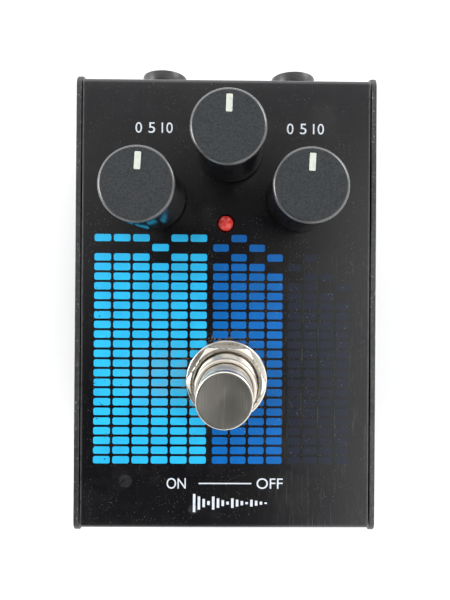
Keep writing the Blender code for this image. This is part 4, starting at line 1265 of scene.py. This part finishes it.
hexagon = bmesh.new()
bmesh.ops.create_cone(
    hexagon,
    cap_ends=True,
    segments=6,
    radius1=nut_across_flats / 2 / math.cos(math.pi / 6),
    radius2=nut_across_flats / 2 / math.cos(math.pi / 6),
    depth=nut_high.z - nut_low.z,
    matrix=Matrix.Translation((0, 0, (nut_low.z + nut_high.z) / 2))
    @ Matrix.Rotation(nut_turn + math.pi / 2, 4, "Z"),
)
turned_corners = [(0, nut_high.z), (nut_face_radius, nut_high.z)]
turned_corners += [(nut_corner_radius, nut_high.z - nut_chamfer)]
turned_corners += [(nut_corner_radius, nut_low.z + 0.0002), (nut_corner_radius - 0.0002, nut_low.z)]
turned_corners += [(0, nut_low.z)]
nut_bore = [(0, nut_high.z + overrun), (washer_bore + nut_mouth, nut_high.z + overrun)]
nut_bore += [(washer_bore, nut_high.z - 0.00015), (washer_bore, nut_low.z - overrun)]
nut_bore += [(0, nut_low.z - overrun)]
nut_mesh = worked(
    as_mesh("dress_nut", hexagon, switch_place),
    ("INTERSECT", turned("corners", turned_corners, switch_place, 96)),
    ("DIFFERENCE", turned("nut_bore", nut_bore, switch_place, 96)),
    sharp=math.radians(20),
)
nut = add_piece("dress_nut", nut_mesh, nickel)
soften(nut, nut_edge_round)
fit(nut, "case", "bright_metal", "footswitch_dress_nut")

thread = threaded_side(
    barrel_radius, barrel_thread_depth, barrel_thread_pitch, barrel_rim, barrel_low.z, 96, 8
)
neck = barrel_radius - barrel_neck
rim_profile = [(0, barrel_high.z), (neck, barrel_high.z)]
rim_profile += arc_points(neck, barrel_high.z - 0.0002, 0.0002, 90, 0, 4)
rim_profile += [(barrel_radius - 0.0003, barrel_rim - 0.0003), (0, barrel_rim - 0.0003)]
keyway_top = barrel_high.z + overrun
bore_profile = [(0, keyway_top), (barrel_bore_radius + 0.0011, keyway_top)]
bore_profile += [(barrel_bore_radius, barrel_high.z - 0.0001)]
bore_profile += [(barrel_bore_radius, barrel_low.z - overrun), (0, barrel_low.z - overrun)]
keyway = block_shape(
    (2 * keyway_depth, keyway_width, keyway_top - plate_z),
    (-barrel_radius, 0, (keyway_top + plate_z) / 2),
)
flange = block_shape(
    (barrel_high.x - barrel_low.x, barrel_high.y - barrel_low.y, flange_thickness),
    (0, 0, barrel_low.z + flange_thickness / 2),
)
barrel_mesh = worked(
    as_mesh("barrel", thread, switch_place),
    ("UNION", turned("rim", rim_profile, switch_place, 96)),
    ("DIFFERENCE", as_mesh("keyway", keyway, switch_place)),
    ("UNION", as_mesh("flange", flange, switch_place)),
    ("DIFFERENCE", turned("bore", bore_profile, switch_place, 96)),
)
# The barrel's thread roots get painted shade from these radii.
deep, crest = [barrel_radius - share * barrel_thread_depth for share in (0.8, 0.2)]
barrel_nickel = turned_metal(
    "barrel_nickel", (0.76, 0.70, 0.61), (0.42, 0.55), shaded_grooves=(deep, crest, barrel_rim)
)
fit(add_piece("barrel", barrel_mesh, barrel_nickel), "case", "bright_metal", "footswitch_barrel")

button_polish = turned_metal("button_polish", (0.64, 0.60, 0.53), (0.28, 0.42), 0.5)
# The button's top: brushed strokes and light scratches on a tone painted much darker than the nickel
# sides, a painted shade of the dark overhead it reflects.
button_brushed = new_finish("button_brushed", Metallic=1.0)
strokes = patches(button_brushed, 3.0, 0.25, 0.75, 4, (3.5, 0.12, 1))
deep_strokes = patches(button_brushed, 1.5, 0.62, 0.72, 2, (3.0, 0.10, 1), (5, 2, 0))
worn_patch = patches(button_brushed, 0.22, 0.4, 0.7, 5, shift=(2, 6, 0))
colour = mixed(strokes, (0.245, 0.232, 0.205), (0.285, 0.272, 0.243))
wire(
    button_brushed,
    Base_Color=mixed(times(deep_strokes, 0.25), colour, (0.60, 0.59, 0.55)),
    Roughness=between(worn_patch, 0, 1, 0.34, 0.42),
    Normal=relief(strokes, 0.12, 0.00003),
)
button_foot = button_high.z - button_length
button_profile = [(0, button_high.z - 0.00008), (button_radius - 0.0006, button_high.z - 0.00004)]
button_profile += arc_points(
    button_radius - button_round, button_high.z - button_round, button_round, 90, 0
)
for groove in button_grooves:
    height = button_high.z - groove
    button_profile += [(button_radius, height + groove_half_width), (button_radius - 0.0001, height)]
    button_profile += [(button_radius, height - groove_half_width)]
button_profile += [(button_radius, button_foot + 0.0002), (button_radius - 0.0002, button_foot)]
button_profile += [(stem_radius, button_foot), (stem_radius, button_low.z), (0, button_low.z)]
button_mesh = turned("button", button_profile, switch_place, 96)
button = add_piece("button", button_mesh, button_polish, button_brushed)
for face in button_mesh.polygons:
    if face.normal.z > 0.9 and face.center.z > button_high.z - 0.0003:
        face.material_index = 1
fit(button, "plunger", "button_metal", "footswitch_button")


# Three straight round knobs are moulded in glossy black and sprayed soft-touch on top, which is
# matt, grey with handling and specked. Each has an off-white pointer moulded into the top, and
# is hollow below over the control's nut, bushing and shaft.

knob_radius = 0.0065
knob_edge_round = 0.0007
knob_skirt_wall = 0.0007
knob_bore_radius = 0.00325
knob_clearance = 0.0003
pointer_size = Vector((0.0011, 0.0030, 0.0007))
pointer_corner_radius = 0.00018
pointer_edge_round = 0.00006
pocket_corner_radius = 0.0002
pointer_gap = 0.00006

knob_gloss = new_finish("knob_gloss", IOR=1.5)
gloss_specks = times(specks(knob_gloss, 1.2, 0.12), 0.4)
wire(
    knob_gloss,
    Base_Color=mixed(gloss_specks, (0.008, 0.008, 0.009), (0.25, 0.25, 0.25)),
    Roughness=between(patches(knob_gloss, 0.3, 0.4, 0.75, 6), 0, 1, 0.13, 0.22),
    Normal=relief(patches(knob_gloss, 1.2, 0, 1), 0.03, 0.0001),
)
knob_soft = new_finish("knob_soft", Specular_IOR_Level=0.25)
cloud = patches(knob_soft, 0.25, 0.3, 0.75, 6)
grain = patches(knob_soft, 4.2, 0.34, 0.68)
dust = times(specks(knob_soft, 3.4, 0.15), patches(knob_soft, 0.5, 0.5, 0.66, shift=(3, 3, 3)))
colour = mixed(cloud, (0.0110, 0.0135, 0.0155), (0.0165, 0.0190, 0.0210))
colour = mixed(times(grain, 0.70), colour, (0.046, 0.049, 0.052))
wire(
    knob_soft,
    Base_Color=mixed(times(dust, 0.22), colour, (0.25, 0.25, 0.24)),
    Roughness=between(cloud, 0, 1, 0.58, 0.70),
    Normal=relief(grain, 0.20, 0.00008),
)
knob_rim = mottled(
    "knob_rim",
    (1.8, 0.35, 0.7, 5),
    ((0.006, 0.006, 0.007), (0.024, 0.024, 0.024)),
    (0.24, 0.42),
    (6, 0.25, 0.75, 2, 0.15, 0.00005),
    Specular_IOR_Level=0.9,
    Coat_Weight=0.5,
    Coat_Roughness=0.28,
)
pointer_white = mottled(
    "pointer_white",
    (1.4, 0.5, 0.8, 5),
    ((0.54, 0.57, 0.51), (0.36, 0.37, 0.32)),
    (0.35, 0.5),
    (4, 0, 1, 0.1, 0.00005),
    IOR=1.5,
)

for side in ("left", "centre", "right"):
    knob_low, knob_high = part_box(f"knob_{side}")
    shaft_top, bushing_top, nut_top = [
        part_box(f"pot_{part}_{side}")[1].z + knob_clearance for part in ("shaft", "bushing", "nut")
    ]
    axis = (knob_low + knob_high) / 2
    to_pointer = middle_of(f"knob_pointer_{side}") - axis
    turn = Matrix.Rotation(math.atan2(-to_pointer.x, to_pointer.y), 4, "Z")
    reach = to_pointer.to_2d().length
    where = (axis.x, axis.y, 0)
    edge_radius = knob_radius - knob_edge_round
    profile = [(0, knob_high.z), (edge_radius - 0.0001, knob_high.z)]
    profile += arc_points(edge_radius, knob_high.z - knob_edge_round, knob_edge_round, 90, 0, 10)
    profile += [(knob_radius, knob_low.z + 0.0003), (knob_radius - 0.00025, knob_low.z)]
    profile += [(knob_radius - knob_skirt_wall, knob_low.z), (knob_radius - knob_skirt_wall, nut_top)]
    profile += [(bushing_hole_radius, nut_top), (bushing_hole_radius, bushing_top)]
    profile += [(knob_bore_radius, bushing_top), (knob_bore_radius, shaft_top), (0, shaft_top)]
    pocket_size = pointer_size + Vector((2, 2, 1)) * pointer_gap
    pocket_size.z *= 2
    pocket = rounded_block(pocket_size, (0, reach, knob_high.z), pocket_corner_radius, 3, True)
    body = worked(
        turned(f"{side}_knob", profile, where, 96),
        ("DIFFERENCE", as_mesh("pocket", pocket, where, turn)),
    )
    knob = add_piece(f"{side}_knob", body, knob_gloss, knob_soft, knob_rim)
    for face in body.polygons:
        if face.center.z > knob_high.z - knob_edge_round:
            face.material_index = 1 if face.normal.z > 0.97 else 2 if face.normal.z > 0.15 else 0
    fit(knob, f"control_{side}", "knob_black", f"knob_{side}")
    bar_middle = (0, reach, knob_high.z - pointer_size.z / 2)
    bar = rounded_block(pointer_size, bar_middle, pointer_corner_radius, 3, True)
    bar_mesh = as_mesh(f"{side}_pointer", bar, where, turn)
    pointer = add_piece(f"{side}_pointer", bar_mesh, pointer_white)
    soften(pointer, pointer_edge_round)
    fit(pointer, f"control_{side}", "pointer_white", f"knob_pointer_{side}")


# The pedal stands on a plain pale floor under soft light from all round, darker straight
# overhead and to the front left. The camera looks straight down from close above it.

floor_white = new_finish("floor_white", Base_Color=(0.94, 0.94, 0.94, 1), Specular_IOR_Level=0.2)
wire(
    floor_white,
    Roughness=between(patches(floor_white, 0.05, 0.3, 0.7), 0, 1, 0.55, 0.7),
    Normal=relief(patches(floor_white, 1.5, 0, 1), 0.03, 0.0002),
)
floor_shape = bmesh.new()
bmesh.ops.create_grid(floor_shape, x_segments=8, y_segments=8, size=3.0)
floor = add_piece("floor", as_mesh("floor", floor_shape), floor_white)

studio = bpy.data.worlds.new("studio")
bpy.context.scene.world = studio
studio.use_nodes = True
sky = studio.node_tree


def panel(slope, start, end, low_strength, high_strength):
    """Light that grows from one strength to another between two slopes of the sky."""
    return between(slope, start, end, low_strength, high_strength, interpolation_type="SMOOTHSTEP")


towards = {"Vector": add_node(sky, "ShaderNodeTexCoord")["Generated"]}
direction = add_node(sky, "ShaderNodeSeparateXYZ", towards)
upward = sum_of("MAXIMUM", direction["Z"], 0.02)
across = sum_of("DIVIDE", direction["X"], upward)
along = sum_of("DIVIDE", direction["Y"], upward)
beside = sum_of("MAXIMUM", sum_of("SUBTRACT", -0.12, across), 0)
behind = sum_of("ADD", along, times(beside, 1.3))
share = panel(behind, 0.15, 0.34, 0, 1)
rear = sum_of("MAXIMUM", panel(along, 0.34, 0.52, 0.74, 1.1), panel(along, 0.8, 1.6, 0.65, 2.5))
overhead = panel(across, 0.04, 0.33, 0.05, 1.8)
for light in (
    panel(across, 0.9, 1.8, 0.05, 2.5),
    panel(across, -0.8, -1.6, 0.05, 2.5),
    panel(along, -0.35, -1.5, 0.05, 0.5),
):
    overhead = sum_of("MAXIMUM", light, overhead)
brightness = sum_of("ADD", times(rear, share), times(overhead, sum_of("SUBTRACT", 1, share)))
background = sky.nodes["Background"]
background.inputs["Color"].default_value = (0.985, 0.99, 1.0, 1)
sky.links.new(brightness, background.inputs["Strength"])

for name, place, size in (
    ("rear_right_light", Vector((0.85, 0.65, 0.42)), (0.5, 0.4)),
    ("left_light", Vector((-0.80, 0.10, 0.42)), (0.4, 0.3)),
):
    lamp = bpy.data.lights.new(name, "AREA")
    lamp.shape = "RECTANGLE"
    lamp.size, lamp.size_y = size
    lamp.energy = 5.0
    light = bpy.data.objects.new(name, lamp)
    light.location = place
    light.rotation_euler = (Vector((0, 0, 0.03)) - place).to_track_quat("-Z", "Y").to_euler()
    bpy.context.scene.collection.objects.link(light)

view = bpy.data.cameras.new("camera")
view.sensor_width = 36
view.lens = 28.222
view.shift_x = -0.0297
view.shift_y = -0.0486
view.clip_start = 0.005
view.clip_end = 20
camera = bpy.data.objects.new("camera", view)
camera.location = (0.002492, 0.003557, 0.128121)
camera.rotation_euler = [math.radians(turn) for turn in (0.132, -0.539, 0.393)]
bpy.context.scene.collection.objects.link(camera)
bpy.context.scene.camera = camera
bpy.context.scene.view_settings.view_transform = "Standard"
